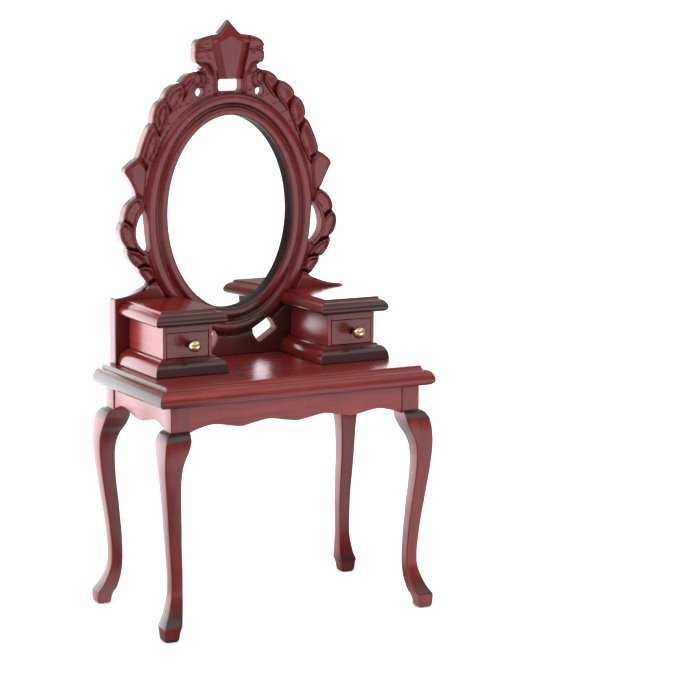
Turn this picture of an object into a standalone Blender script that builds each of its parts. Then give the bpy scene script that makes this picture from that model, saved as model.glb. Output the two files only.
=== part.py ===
"""Miniature dressing table at 1:12 scale: a moulded top on four sawn cabriole
legs, two small drawer boxes, and one carved board behind them that holds an
oval looking glass.

Frame: metres, +Z up, origin on the floor under the middle of the table.
The front faces -Y, and +X is to the right when seen from the front.
All lengths below are in millimetres; angles are in degrees. On the boxes and
drawers, "inner" means towards the middle of the table. A "step" is the
approximate spacing of the points sampled along a curve.
"""
import math

import bmesh
import bpy
from mathutils import Vector

MM = 0.001
GAP = 0.03            # glue line or running line between touching pieces
MERGE_DIST = 1e-4
ON_AXIS = 1e-6        # points nearer the middle than this are not mirrored
SHADE_CARVED = 35     # sharp-edge angle of mouldings, aprons and the board
SHADE_ROUND = 40      # sharp-edge angle of legs, glass and knobs

# ---------------------------------------------------------------- table top
TOP_Z = 64.0          # top surface above the floor (768 mm at full size)
TOP_HALF_X = 36.15    # flat field, measured to the start of the moulding
TOP_FRONT_Y = -19.44
BACK_Y = 20.0         # back edge, shared with the carved board
# edge moulding of the top: (outward, downward) from the edge of the flat field
TOP_PROFILE = [(0.0, 0.0), (0.28, 0.5), (0.45, 0.95), (1.0, 1.05),
               (1.75, 1.3), (2.45, 1.95), (2.87, 2.9), (2.99, 3.7),
               (2.65, 4.45), (2.15, 4.78), (0.05, 5.3)]
TOP_THICK = TOP_PROFILE[-1][1]
TOP_STEP = 0.7

# --------------------------------------------------------- posts and aprons
POST_X = 35.4         # outer faces of a corner post
POST_Y = 20.05
POST_SIZE = 5.0
POST_TOP = TOP_Z - TOP_THICK - GAP
APRON_THICK = 3.2
APRON_INSET = 0.3     # apron face behind the post face
# lower edge of the front apron from the middle outwards: (x, z)
FRONT_SCALLOP = [(0.0, 52.65), (3.3, 53.15), (6.3, 53.7), (8.6, 53.8),
                 (12.6, 53.15), (15.7, 52.6), (19.3, 53.15), (22.2, 53.65),
                 (24.6, 53.65), (28.2, 52.8), (30.4, 51.9)]
# lower edge of a side apron from its middle outwards: (y, z)
SIDE_SCALLOP = [(0.0, 52.45), (2.6, 52.7), (5.6, 53.55), (8.6, 54.1),
                (11.2, 54.0), (13.4, 53.3), (15.1, 52.5)]
SCALLOP_STEP = 0.95
SCALLOP_END = 0.2     # scallop points stop this far short of the apron's end
BACK_APRON_Z = 53.2

# -------------------------------------------------------------- cabriole leg
# (height, outer face outwards of the post face, inner face outwards of the
# post's inner face); the leg is sawn to the same curve on two faces
LEG_CURVE = [(52.7, 0.0, 0.0), (52.1, 1.15, 0.12), (51.0, 1.90, 0.18),
             (50.0, 2.28, 0.32), (48.0, 2.62, 1.10), (46.0, 2.78, 2.15),
             (44.0, 2.80, 2.80),
             (42.0, 2.69, 3.09), (40.0, 2.53, 3.19), (36.0, 2.14, 3.09),
             (32.0, 1.70, 2.88), (28.0, 1.25, 2.57), (24.0, 0.74, 2.31),
             (20.0, 0.33, 2.02), (16.0, 0.02, 1.86), (13.0, -0.02, 1.84),
             (11.0, 0.15, 1.91), (9.0, 0.63, 2.08), (7.0, 1.33, 2.40),
             (5.5, 2.01, 2.74), (4.5, 2.59, 3.04), (3.8, 2.95, 3.36)]
LEG_STEP = 2.1
# the foot goes on below the curve, same columns, joined by straight lines
FOOT_STATIONS = [(3.1, 3.15, 3.72), (2.2, 3.15, 3.95),
                 (1.0, 3.15, 4.08), (0.3, 3.05, 4.16), (0.0, 2.80, 4.36)]

# -------------------------------------------- carved board and looking glass
BOARD_FRONT_Y = 16.15
BOARD_X = -0.9        # the board is set a little to the left of the middle
LIP = (18.2, 25.4)    # half width and half height of the oval opening
LIP_Z = 102.0         # middle height of the opening, rebate and glass
LIP_EASE = 0.3        # widening of the opening at the board's face
LIP_EASE_START = 0.02     # the easing starts this far in front of the face
LIP_EASE_DEEP = 0.28      # and ends this far behind it
# grooves round the opening: name, (half width, half height), middle height
GROOVES = [("guide_groove_mid", (21.0, 28.4), 101.7),
           ("guide_groove_out", (24.6, 32.0), 101.4)]
GROOVE_HALF_WIDTH, GROOVE_DEEP = 0.5, 0.45     # V section, at the board's face
GLASS_Y = 18.55       # floor of the rebate
REBATE = (19.3, 26.5)     # half width and half height
REBATE_OVERLAP = 0.6      # the opening is cut this far past the rebate's floor
GLASS_THICK = 0.75
GLASS_CLEARANCE = 0.15
BACKING_INSET = 0.02      # backing card in front of the board's back
CUT_OVERSHOOT = 2.0       # cutting tools stand this far clear of the board
CUT_SEGMENTS, GLASS_SEGMENTS = 72, 64
# right half of the board's outline from the tip down; each row is one smooth
# sweep, and the sweeps meet at corners: (x, z)
BOARD_SWEEPS = [
    [(0.0, 152.0), (0.85, 151.0), (1.75, 150.0), (2.6, 149.0), (3.3, 148.4)],
    [(3.3, 148.4), (5.3, 148.15), (7.6, 147.6), (9.3, 146.7), (10.05, 145.3)],
    [(10.05, 145.3), (10.1, 143.5), (9.9, 141.4), (8.1, 140.1)],
    [(8.1, 140.1), (9.3, 139.05), (11.2, 138.65), (12.8, 137.7), (14.3, 136.2)],
    [(14.3, 136.2), (16.0, 135.7), (17.6, 134.6), (18.5, 133.4), (19.2, 131.95)],
    [(19.2, 131.95), (20.5, 131.1), (21.6, 129.5), (22.1, 127.7),
     (22.15, 125.95)],
    [(22.15, 125.95), (23.2, 124.8), (24.1, 123.0), (25.3, 120.2),
     (26.3, 117.05)],
    [(26.3, 117.05), (27.7, 116.15), (29.1, 115.0), (30.0, 113.75)],
    [(30.0, 113.75), (28.9, 111.9), (27.7, 109.5), (26.75, 107.0)],
    [(26.75, 107.0), (28.3, 105.95), (29.6, 104.5), (30.35, 102.7),
     (30.5, 100.9)],
    [(30.5, 100.9), (31.3, 99.8), (31.6, 98.2), (31.0, 95.9), (29.6, 93.85)],
    [(29.6, 93.85), (29.6, 92.6), (28.9, 90.95), (27.7, 89.5), (26.4, 88.5)],
    [(26.4, 88.5), (26.1, 87.4), (25.1, 86.1), (23.45, 84.0)],
    [(23.45, 84.0), (24.8, 83.3), (26.4, 82.6), (28.0, 82.05),
     (29.8, 81.6), (31.5, 81.35), (32.8, 81.15), (33.3, 80.6)],
    [(33.3, 80.6), (33.3, TOP_Z + GAP)],
]
BOARD_STEP = 1.15
# right side opening through the board, one closed smooth loop: (x, z)
CRESCENT = [(24.5, 103.5), (25.9, 102.0), (26.8, 99.8), (27.1, 97.6),
            (26.6, 95.4), (25.4, 93.7), (24.0, 92.8), (23.0, 93.4),
            (23.4, 97.0), (23.8, 101.2)]
CRESCENT_STEP = 1.2
PEEP = (8.6, 133.4, 1.2)     # small round hole: x, z, radius
PEEP_SEGMENTS = 12
# slots: (x from the board's middle, z, long, short, tilt, corner radius);
# the two low ones are cut by hand and differ
TOP_SLOT = (0.0, 135.175, 6.5, 3.15, 0.0, 0.7)
LOW_SLOT_RIGHT = (9.8, 70.2, 6.6, 3.9, 33.0, 0.9)
LOW_SLOT_LEFT = (-7.6, 69.25, 7.0, 4.8, -20.0, 1.4)
CORNER_SEGMENTS = 3

# ------------------------------------------------------------ drawer boxes
# x extents are for the right box; profiles are (outward, downward)
LID_Z = 80.63
LID_X = (15.63, 31.16)
LID_FRONT = -5.39
LID_PROFILE = [(0.0, 0.0), (0.36, 0.7), (1.3, 1.3), (1.98, 2.1),
               (2.19, 2.75), (2.02, 3.35), (1.45, 3.85), (0.5, 4.1)]
LID_STEP = 0.55
BASE_X = (15.86, 31.04)
BASE_FRONT = -5.09
BASE_PROFILE = [(0.0, 0.0), (0.16, 0.12), (0.8, 0.62), (1.6, 1.2),
                (2.2, 2.2), (2.5, 3.4), (2.56, 4.06), (2.5, 4.27)]
BASE_STEP = 0.6
BASE_TOP = TOP_Z + GAP + BASE_PROFILE[-1][1]
BOX_BACK = BOARD_FRONT_Y - GAP
CASE_IN, CASE_OUT, CASE_FRONT = 16.7, 30.4, -4.75
CASE_Z = (BASE_TOP + GAP, LID_Z - LID_PROFILE[-1][1] - GAP)
WALL = 0.9
RAIL_Z = 74.93
RAIL_DEEP = 2.5

# ----------------------------------------------------------------- drawers
DRAWER_X = (17.78, 29.42)
DRAWER_Z0 = BASE_TOP + 0.12
DRAWER_Z1 = RAIL_Z - 0.08
FRONT_THICK = 1.8
DRAWER_BACK_Y = 15.2
SIDE_INSET = 0.04     # drawer sides set in from the ends of the front
SIDE_THICK = 0.95
SIDE_TOP = 74.0
FLOOR_THICK = 0.7

# ------------------------------------------------------------------- knobs
KNOB_X = (CASE_IN + CASE_OUT) / 2
KNOB_Z = 71.96
BALL_R = 1.65
BALL_Y = -8.98
BALL_ROWS = 9
NECK_R = 0.6
FLANGE_R = 1.0
FLANGE_Y = CASE_FRONT - GAP     # back of the flange
# flange stations: (distance in front of its back, radius)
FLANGE_STATIONS = [(0.62, NECK_R), (0.42, FLANGE_R * 0.82),
                   (0.22, FLANGE_R), (0.0, FLANGE_R)]
KNOB_SEGMENTS = 20
PIN_R = 0.4
PIN_END_Y = CASE_FRONT + 1.2
PIN_HOLE_R = 0.45
PIN_HOLE_SPARE = 0.1      # hole deeper than the pin
PIN_HOLE_OVERSHOOT = 1.0  # hole tool starts this far in front of the drawer
PIN_HOLE_SEGMENTS = 12

# --------------------------------------------------------------- materials
MAHOGANY = dict(name="mahogany", colour=(0.19, 0.035, 0.025, 1.0),
                roughness=0.22, metallic=0.0)
MAHOGANY_DARK = dict(name="mahogany_box", colour=(0.13, 0.03, 0.022, 1.0),
                     roughness=0.24, metallic=0.0)
BRASS = dict(name="brass", colour=(0.80, 0.58, 0.25, 1.0),
             roughness=0.22, metallic=1.0)
SILVERED = dict(name="mirror_silver", colour=(0.90, 0.91, 0.92, 1.0),
                roughness=0.03, metallic=1.0)
CARD = dict(name="backing_card", colour=(0.36, 0.27, 0.19, 1.0),
            roughness=0.8, metallic=0.0)


# ------------------------------------------------------- scene and objects
def clear_scene():
    for obj in list(bpy.data.objects):
        bpy.data.objects.remove(obj, do_unlink=True)


def material(name, colour, roughness, metallic):
    """The named material, made on first use."""
    mat = bpy.data.materials.get(name)
    if mat is None:
        mat = bpy.data.materials.new(name)
        mat.use_nodes = True
        shader = mat.node_tree.nodes["Principled BSDF"]
        shader.inputs["Base Color"].default_value = colour
        shader.inputs["Roughness"].default_value = roughness
        shader.inputs["Metallic"].default_value = metallic
        mat.diffuse_color = colour
    return mat


def finish(name, solid, finish_spec, parent=None, smooth=None):
    """Turn a bmesh in millimetres into a named object with its material.
    Its origin is the parent's, or the scene's if it has none."""
    bmesh.ops.remove_doubles(solid, verts=solid.verts, dist=MERGE_DIST)
    bmesh.ops.recalc_face_normals(solid, faces=solid.faces)
    if solid.calc_volume(signed=True) < 0:
        bmesh.ops.reverse_faces(solid, faces=solid.faces)
    origin = parent.location if parent else Vector((0, 0, 0))
    for vert in solid.verts:
        vert.co = vert.co * MM - origin
    mesh = bpy.data.meshes.new(name)
    solid.to_mesh(mesh)
    solid.free()
    obj = bpy.data.objects.new(name, mesh)
    bpy.context.scene.collection.objects.link(obj)
    mesh.materials.append(material(**finish_spec))
    obj.parent = parent
    if smooth:
        mesh.shade_smooth()
        mesh.set_sharp_from_angle(angle=math.radians(smooth))
    return obj


def cut(name, solid, target):
    """Subtract a hidden tool solid from the target with an exact Boolean.
    The tool's origin stays at the scene's origin."""
    tool = finish(name, solid, MAHOGANY)
    tool.hide_render = True
    tool.display_type = "WIRE"
    if target.parent:
        tool.parent = target.parent
        tool.location = -target.parent.location
    mod = target.modifiers.new(name, "BOOLEAN")
    mod.operation = "DIFFERENCE"
    mod.solver = "EXACT"
    mod.object = tool


# --------------------------------------------------------- curves and loops
def sweep(points, step, closed=False):
    """Catmull-Rom curve through the points, sampled about every step mm.
    Two points alone give a plain straight line."""
    knots = [Vector(p) for p in points]
    count = len(knots)
    if count == 2:
        return [tuple(knot) for knot in knots]
    samples = []
    for i in range(count if closed else count - 1):
        if closed:
            before, start, end, after = (knots[(i + k) % count]
                                         for k in (-1, 0, 1, 2))
        else:
            start, end = knots[i], knots[i + 1]
            before = knots[i - 1] if i else start + (start - end)
            after = knots[i + 2] if i + 2 < count else end + (end - start)
        parts = max(1, int(round((end - start).length / step)))
        for k in range(parts):
            t = k / parts
            samples.append(tuple(0.5 * (
                (2 * start) + (end - before) * t
                + (2 * before - 5 * start + 4 * end - after) * t * t
                + (3 * start - before - 3 * end + after) * t ** 3)))
    if not closed:
        samples.append(tuple(knots[-1]))
    return samples


def flipped(loop):
    return [(-x, z) for x, z in loop]


def with_mirror(right):
    """Close a right half outline that starts on the middle line."""
    return right + flipped(p for p in reversed(right) if p[0] > ON_AXIS)


def circle(mid_x, mid_z, radius, segments):
    angles = [2 * math.pi * i / segments for i in range(segments)]
    return [(mid_x + radius * math.cos(angle), mid_z + radius * math.sin(angle))
            for angle in angles]


def oval(half, mid_z, y, segments, inflate=0.0):
    """Ring round the board's middle line; half is (half width, half height)."""
    angles = [2 * math.pi * i / segments for i in range(segments)]
    return [(BOARD_X + (half[0] + inflate) * math.sin(angle), y,
             mid_z + (half[1] + inflate) * math.cos(angle))
            for angle in angles]


def rounded_rect(mid_x, mid_z, width, height, tilt, radius):
    points = []
    for sign_x, sign_z, start in ((1, 1, 0), (-1, 1, 90), (-1, -1, 180),
                                  (1, -1, 270)):
        corner_x = sign_x * (width / 2 - radius)
        corner_z = sign_z * (height / 2 - radius)
        for k in range(CORNER_SEGMENTS + 1):
            angle = math.radians(start + 90 * k / CORNER_SEGMENTS)
            points.append((corner_x + radius * math.cos(angle),
                           corner_z + radius * math.sin(angle)))
    cos, sin = math.cos(math.radians(tilt)), math.sin(math.radians(tilt))
    return [(mid_x + x * cos - z * sin, mid_z + x * sin + z * cos)
            for x, z in points]


def rectangle(xa, xb, ya, yb, z):
    return [(xa, ya, z), (xb, ya, z), (xb, yb, z), (xa, yb, z)]


# ------------------------------------------------------------------- solids
def skin(solid, loops):
    """Quads between each pair of neighbouring vertex loops."""
    for near, far in zip(loops, loops[1:]):
        for i in range(len(near)):
            j = (i + 1) % len(near)
            solid.faces.new((near[i], near[j], far[j], far[i]))


def loft(rings, join_ends=False):
    """Solid through equal rings of points. Its ends are capped, or the last
    ring is joined back to the first."""
    solid = bmesh.new()
    loops = [[solid.verts.new(p) for p in ring] for ring in rings]
    if join_ends:
        skin(solid, loops + loops[:1])
    else:
        skin(solid, loops)
        solid.faces.new(list(reversed(loops[0])))
        solid.faces.new(loops[-1])
    return solid


def block(x_range, y_range, z_range, sign=1):
    """Plain block; a sign of -1 puts it on the left."""
    x0, x1 = sorted(sign * x for x in x_range)
    return loft([rectangle(x0, x1, *y_range, z) for z in z_range])


def plate(loops, y0, y1):
    """A board in the XZ plane from y0 to y1; the first loop is its outline
    and the others are openings through it. Loops hold (x, z) points."""
    solid = bmesh.new()
    edges = []
    for loop in loops:
        verts = [solid.verts.new((x, y0, z)) for x, z in loop]
        for i, vert in enumerate(verts):
            edges.append(solid.edges.new((vert, verts[(i + 1) % len(verts)])))
    bmesh.ops.triangle_fill(solid, edges=edges, use_beauty=True,
                            normal=(0, -1, 0))
    made = bmesh.ops.extrude_face_region(solid, geom=list(solid.faces))
    moved = [g for g in made["geom"] if isinstance(g, bmesh.types.BMVert)]
    bmesh.ops.translate(solid, verts=moved, vec=(0, y1 - y0, 0))
    return solid


def oval_loft(stations, segments):
    """Closed solid of oval rings; a station is ((half width, half height), y)."""
    return loft([oval(half, LIP_Z, y, segments) for half, y in stations])


def moulded_board(profile, step, x_range, front, back, top, sign=1):
    """Board with a moulded edge on the front and both ends, mitred at the
    corners, and a plain back edge."""
    x0, x1 = sorted(sign * x for x in x_range)
    return loft([rectangle(x0 - out, x1 + out, front - out, back, top - down)
                 for out, down in sweep(profile, step)])


def lathe_y(tip_y, stations, mid_x, mid_z, segments):
    """Turned solid about an axis along Y: a point on the axis, then rings
    given as (y, radius), with a flat end."""
    solid = bmesh.new()
    tip = solid.verts.new((mid_x, tip_y, mid_z))
    loops = [[solid.verts.new((x, y, z))
              for x, z in circle(mid_x, mid_z, radius, segments)]
             for y, radius in stations]
    first = loops[0]
    for i in range(segments):
        solid.faces.new((tip, first[(i + 1) % segments], first[i]))
    skin(solid, loops)
    solid.faces.new(loops[-1])
    return solid


# ------------------------------------------------------------------- table
def make_top():
    solid = moulded_board(TOP_PROFILE, TOP_STEP, (-TOP_HALF_X, TOP_HALF_X),
                          TOP_FRONT_Y, BACK_Y, TOP_Z)
    finish("table_top", solid, MAHOGANY, smooth=SHADE_CARVED)


def scalloped_apron(name, scallop, half_length, face, along_y=False):
    """Apron with a scalloped lower edge. It lies along X with its front at
    y = face, or is turned along Y with its left side at x = face."""
    right = [(x, z) for x, z in sweep(scallop, SCALLOP_STEP)
             if x < half_length - SCALLOP_END]
    right += [(half_length, scallop[-1][1]), (half_length, POST_TOP)]
    solid = plate([with_mirror(right)], face, face + APRON_THICK)
    if along_y:
        for vert in solid.verts:
            vert.co = Vector((vert.co.y, -vert.co.x, vert.co.z))
    finish(name, solid, MAHOGANY, smooth=SHADE_CARVED)


def make_aprons():
    half_x = POST_X - POST_SIZE - GAP
    half_y = POST_Y - POST_SIZE - GAP
    scalloped_apron("apron_front", FRONT_SCALLOP, half_x, -POST_Y + APRON_INSET)
    scalloped_apron("apron_left", SIDE_SCALLOP, half_y,
                    -POST_X + APRON_INSET, along_y=True)
    scalloped_apron("apron_right", SIDE_SCALLOP, half_y,
                    POST_X - APRON_INSET - APRON_THICK, along_y=True)
    back = POST_Y - APRON_INSET
    finish("apron_back", block((-half_x, half_x), (back - APRON_THICK, back),
                               (BACK_APRON_Z, POST_TOP)), MAHOGANY)


def make_leg(name, sign_x, sign_y):
    """Two-plane sawn cabriole leg with its corner post, in one piece."""
    stations = [(POST_TOP, 0.0, 0.0)] + sweep(LEG_CURVE, LEG_STEP) + FOOT_STATIONS
    rings = [rectangle(sign_x * (POST_X + outer),
                       sign_x * (POST_X - POST_SIZE + inner),
                       sign_y * (POST_Y + outer),
                       sign_y * (POST_Y - POST_SIZE + inner), z)
             for z, outer, inner in stations]
    finish(name, loft(rings), MAHOGANY, smooth=SHADE_ROUND)


# -------------------------------------------- carved board and looking glass
def board_outline():
    right = []
    for row in BOARD_SWEEPS:
        points = sweep(row, BOARD_STEP)
        right += points[1:] if right else points
    return with_mirror(right)


def cut_grooves(board):
    """Two carved grooves that leave a double bead round the opening."""
    # V section: (sideways offset, y), twice the groove's half width where it
    # stands GROOVE_DEEP clear of the board's face
    spread = 2 * GROOVE_HALF_WIDTH
    section = [(-spread, BOARD_FRONT_Y - GROOVE_DEEP),
               (0.0, BOARD_FRONT_Y + GROOVE_DEEP),
               (spread, BOARD_FRONT_Y - GROOVE_DEEP)]
    for name, half, mid_z in GROOVES:
        rings = [oval(half, mid_z, y, CUT_SEGMENTS, offset)
                 for offset, y in section]
        cut(name, loft(rings, join_ends=True), board)


def make_board():
    """One carved board: stand for the looking glass, frame and cresting."""
    crescent = sweep(CRESCENT, CRESCENT_STEP, closed=True)
    peep = circle(*PEEP, PEEP_SEGMENTS)
    loops = [board_outline(), crescent, flipped(crescent),
             rounded_rect(*TOP_SLOT), peep, flipped(peep),
             rounded_rect(*LOW_SLOT_RIGHT), rounded_rect(*LOW_SLOT_LEFT)]
    loops = [[(x + BOARD_X, z) for x, z in loop] for loop in loops]
    board = finish("mirror_frame", plate(loops, BOARD_FRONT_Y, BACK_Y),
                   MAHOGANY, smooth=SHADE_CARVED)
    cut_grooves(board)

    # opening with an eased lip, straight from there to the glass
    eased = (LIP[0] + LIP_EASE, LIP[1] + LIP_EASE)
    cut("guide_oval_opening", oval_loft(
        [(eased, BOARD_FRONT_Y - CUT_OVERSHOOT),
         (eased, BOARD_FRONT_Y - LIP_EASE_START),
         (LIP, BOARD_FRONT_Y + LIP_EASE_DEEP),
         (LIP, GLASS_Y + REBATE_OVERLAP)], CUT_SEGMENTS), board)
    # rebate in the back for the glass and its backing
    cut("guide_rebate", oval_loft(
        [(REBATE, GLASS_Y), (REBATE, BACK_Y + CUT_OVERSHOOT)],
        CUT_SEGMENTS), board)


def make_glass():
    """Looking glass and backing card, both inside the rebate."""
    half = (REBATE[0] - GLASS_CLEARANCE, REBATE[1] - GLASS_CLEARANCE)
    front = GLASS_Y + GAP
    back = front + GLASS_THICK
    for name, y0, y1, spec in (
            ("mirror_glass", front, back, SILVERED),
            ("mirror_backing", back + GAP, BACK_Y - BACKING_INSET, CARD)):
        finish(name, oval_loft([(half, y0), (half, y1)], GLASS_SEGMENTS),
               spec, smooth=SHADE_ROUND)


# ------------------------------------------------------- boxes and drawers
def make_box(side, sign):
    """Fixed case of one drawer: moulded base and lid, two sides and a rail."""
    for name, profile, step, x_range, front, top in (
            ("_box_base", BASE_PROFILE, BASE_STEP, BASE_X, BASE_FRONT, BASE_TOP),
            ("_box_lid", LID_PROFILE, LID_STEP, LID_X, LID_FRONT, LID_Z)):
        solid = moulded_board(profile, step, x_range, front, BOX_BACK, top, sign)
        finish(side + name, solid, MAHOGANY_DARK, smooth=SHADE_CARVED)

    depth = (CASE_FRONT, BOX_BACK)
    for name, x_range, y_range, z_range in (
            ("_box_side_outer", (CASE_OUT - WALL, CASE_OUT), depth, CASE_Z),
            ("_box_side_inner", (CASE_IN, CASE_IN + WALL), depth, CASE_Z),
            ("_box_top_rail", (CASE_IN + WALL + GAP, CASE_OUT - WALL - GAP),
             (CASE_FRONT, CASE_FRONT + RAIL_DEEP), (RAIL_Z, CASE_Z[1]))):
        finish(side + name, block(x_range, y_range, z_range, sign),
               MAHOGANY_DARK)


def make_drawer_front(side, sign, slide):
    """Drawer front with the hole for the knob's pin."""
    solid = block(DRAWER_X, (CASE_FRONT, CASE_FRONT + FRONT_THICK),
                  (DRAWER_Z0, DRAWER_Z1), sign)
    front = finish(side + "_drawer_front", solid, MAHOGANY, parent=slide)
    start = CASE_FRONT - PIN_HOLE_OVERSHOOT
    hole = lathe_y(start, [(start, PIN_HOLE_R),
                           (PIN_END_Y + PIN_HOLE_SPARE, PIN_HOLE_R)],
                   sign * KNOB_X, KNOB_Z, PIN_HOLE_SEGMENTS)
    cut("guide_" + side + "_knob_hole", hole, front)


def make_drawer_tray(side, sign, slide):
    """The two sides, back and bottom behind the drawer front."""
    y0, y1 = CASE_FRONT + FRONT_THICK + GAP, DRAWER_BACK_Y
    inner, outer = DRAWER_X[0] + SIDE_INSET, DRAWER_X[1] - SIDE_INSET
    between = (inner + SIDE_THICK + GAP, outer - SIDE_THICK - GAP)
    height = (DRAWER_Z0, SIDE_TOP)
    for name, x_range, y_range, z_range in (
            ("_drawer_side_outer", (outer - SIDE_THICK, outer), (y0, y1), height),
            ("_drawer_side_inner", (inner, inner + SIDE_THICK), (y0, y1), height),
            ("_drawer_back", between, (y1 - SIDE_THICK, y1), height),
            ("_drawer_bottom", between, (y0, y1 - SIDE_THICK - GAP),
             (DRAWER_Z0, DRAWER_Z0 + FLOOR_THICK))):
        finish(side + name, block(x_range, y_range, z_range, sign),
               MAHOGANY, parent=slide)


def make_knob(side, sign, slide):
    """Brass knob turned from the front: ball, neck, flange and pin."""
    neck_angle = math.asin(NECK_R / BALL_R)     # where the ball meets the neck
    stations = []
    for k in range(1, BALL_ROWS + 1):
        angle = math.pi - (math.pi - neck_angle) * (k / BALL_ROWS)
        stations.append((BALL_Y + BALL_R * math.cos(angle),
                         BALL_R * math.sin(angle)))
    stations += [(FLANGE_Y - ahead, radius) for ahead, radius in FLANGE_STATIONS]
    stations += [(FLANGE_Y, PIN_R), (PIN_END_Y, PIN_R)]
    solid = lathe_y(BALL_Y - BALL_R, stations, sign * KNOB_X, KNOB_Z,
                    KNOB_SEGMENTS)
    finish(side + "_drawer_knob", solid, BRASS, parent=slide,
           smooth=SHADE_ROUND)


def make_drawer(side, sign):
    """One drawer on an empty; moving the empty along -Y opens the drawer."""
    slide = bpy.data.objects.new(side + "_drawer_slide", None)
    slide.location = Vector((sign * KNOB_X, CASE_FRONT, KNOB_Z)) * MM
    bpy.context.scene.collection.objects.link(slide)
    make_drawer_front(side, sign, slide)
    make_drawer_tray(side, sign, slide)
    make_knob(side, sign, slide)


def build():
    clear_scene()
    make_top()
    make_aprons()
    for end, sign_y in (("front", -1), ("back", 1)):
        for side, sign_x in (("left", -1), ("right", 1)):
            make_leg(f"leg_{end}_{side}", sign_x, sign_y)
    make_board()
    make_glass()
    for side, sign in (("left", -1), ("right", 1)):
        make_box(side, sign)
        make_drawer(side, sign)


build()
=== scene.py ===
"""Miniature mahogany dressing table: a moulded top on four shaped legs, two
drawer boxes with brass ball knobs, and a carved board with an oval looking glass.

X runs across the table, the front faces -Y, and Z is up from the floor.
Pieces are drawn in millimetres and turned into metres by add_piece.
"""
import math

import bmesh
import bpy
import numpy as np
from mathutils import Matrix, Vector
from mathutils.geometry import delaunay_2d_cdt


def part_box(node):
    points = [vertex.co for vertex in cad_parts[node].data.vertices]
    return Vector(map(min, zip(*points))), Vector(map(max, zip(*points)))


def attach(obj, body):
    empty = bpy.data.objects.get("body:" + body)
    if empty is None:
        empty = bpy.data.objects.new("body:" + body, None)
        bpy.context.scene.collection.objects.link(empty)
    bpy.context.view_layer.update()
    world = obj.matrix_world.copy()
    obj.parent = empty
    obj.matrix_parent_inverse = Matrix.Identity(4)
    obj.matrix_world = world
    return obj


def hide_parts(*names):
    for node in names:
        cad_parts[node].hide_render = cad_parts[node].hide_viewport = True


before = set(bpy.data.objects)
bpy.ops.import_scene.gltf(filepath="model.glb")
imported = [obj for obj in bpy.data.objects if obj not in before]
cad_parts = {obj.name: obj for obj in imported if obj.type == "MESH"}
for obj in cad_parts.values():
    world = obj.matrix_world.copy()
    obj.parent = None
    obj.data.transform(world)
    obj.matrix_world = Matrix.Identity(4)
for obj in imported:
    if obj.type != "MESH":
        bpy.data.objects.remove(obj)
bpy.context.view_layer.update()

MM = 0.001

# ============================================================ curves and fields


def sweep(points, step=0.3, closed=False, length=np.linalg.norm):
    """Catmull-Rom curve through points, sampled about every step of length."""
    knots = [np.array(p, float) for p in points]
    count = len(knots)
    curve = []
    for i in range(count if closed else count - 1):
        if closed:
            before, start, end, after = (knots[(i + k) % count] for k in (-1, 0, 1, 2))
        else:
            start, end = knots[i], knots[i + 1]
            before = knots[i - 1] if i else 2 * start - end
            after = knots[i + 2] if i + 2 < count else 2 * end - start
        pieces = max(1, int(round(length(end - start) / step)))
        for k in range(pieces):
            t = k / pieces
            curve.append(0.5 * (2 * start + (end - before) * t
                                + (2 * before - 5 * start + 4 * end - after) * t * t
                                + (3 * start - before - 3 * end + after) * t ** 3))
    if not closed:
        curve.append(knots[-1])
    return np.array(curve)


def smooth(low, high, value):
    """Smoothstep from 0 at low to 1 at high."""
    t = np.clip((value - low) / (high - low), 0.0, 1.0)
    return t * t * (3 - 2 * t)


def fade(distance, reach):
    """Smoothstep from 1 at no distance to 0 at reach."""
    return 1 - smooth(0.0, reach, distance)


def line_distance(points, line, closed=False):
    """Distance to a polyline and the side of it: positive on the left of the
    direction of travel."""
    points = np.asarray(points, float)
    nearest = np.full(len(points), 1e9)
    side = np.zeros(len(points))
    ends = [np.array(p, float) for p in line]
    if closed:
        ends.append(ends[0])
    for start, end in zip(ends, ends[1:]):
        length = np.linalg.norm(end - start)
        along = (end - start) / max(length, 1e-9)
        rel = points - start
        t = np.clip(rel @ along, 0, length)
        off = rel - t[:, None] * along
        distance = np.hypot(off[:, 0], off[:, 1])
        cross = along[0] * rel[:, 1] - along[1] * rel[:, 0]
        hit = distance < nearest
        nearest = np.where(hit, distance, nearest)
        side = np.where(hit, np.sign(cross), side)
    return nearest, side


def inside(points, loop):
    """Even-odd test of many points against one closed loop."""
    result = np.zeros(len(points), bool)
    x, y = points[:, 0], points[:, 1]
    for (x0, y0), (x1, y1) in zip(loop, np.roll(loop, -1, axis=0)):
        if y0 == y1:
            continue
        crosses = (y0 > y) != (y1 > y)
        result ^= crosses & (x < (x1 - x0) * (y - y0) / (y1 - y0) + x0)
    return result


def within(points, line, margin=0.0):
    """Which points lie in the line's bounding box, grown by margin."""
    low, high = line.min(0) - margin, line.max(0) + margin
    return ((points >= low) & (points <= high)).all(1)


def wobble(x, y, z, seed, size):
    """Cheap smooth noise, about -1 to 1, repeatable."""
    k = 2 * math.pi / size
    shift = seed * 1.7
    return (np.sin(x * k * 1.0 + 1.3 * shift) * np.cos(z * k * 0.83 + 2.1 * shift)
            + np.sin(z * k * 1.61 - x * k * 0.57 + 0.7 * shift + y * k)
            + 0.6 * np.cos(x * k * 2.3 + z * k * 1.9 + shift)) / 2.6


def corner_arcs(corners, steps):
    """One loop of quarter arcs, from (centre x, centre y, start angle, radius)."""
    loop = []
    for x, y, start, radius in corners:
        for k in range(steps + 1):
            angle = math.radians(start + 90 * k / steps)
            loop.append((x + radius * math.cos(angle), y + radius * math.sin(angle)))
    return loop


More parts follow.
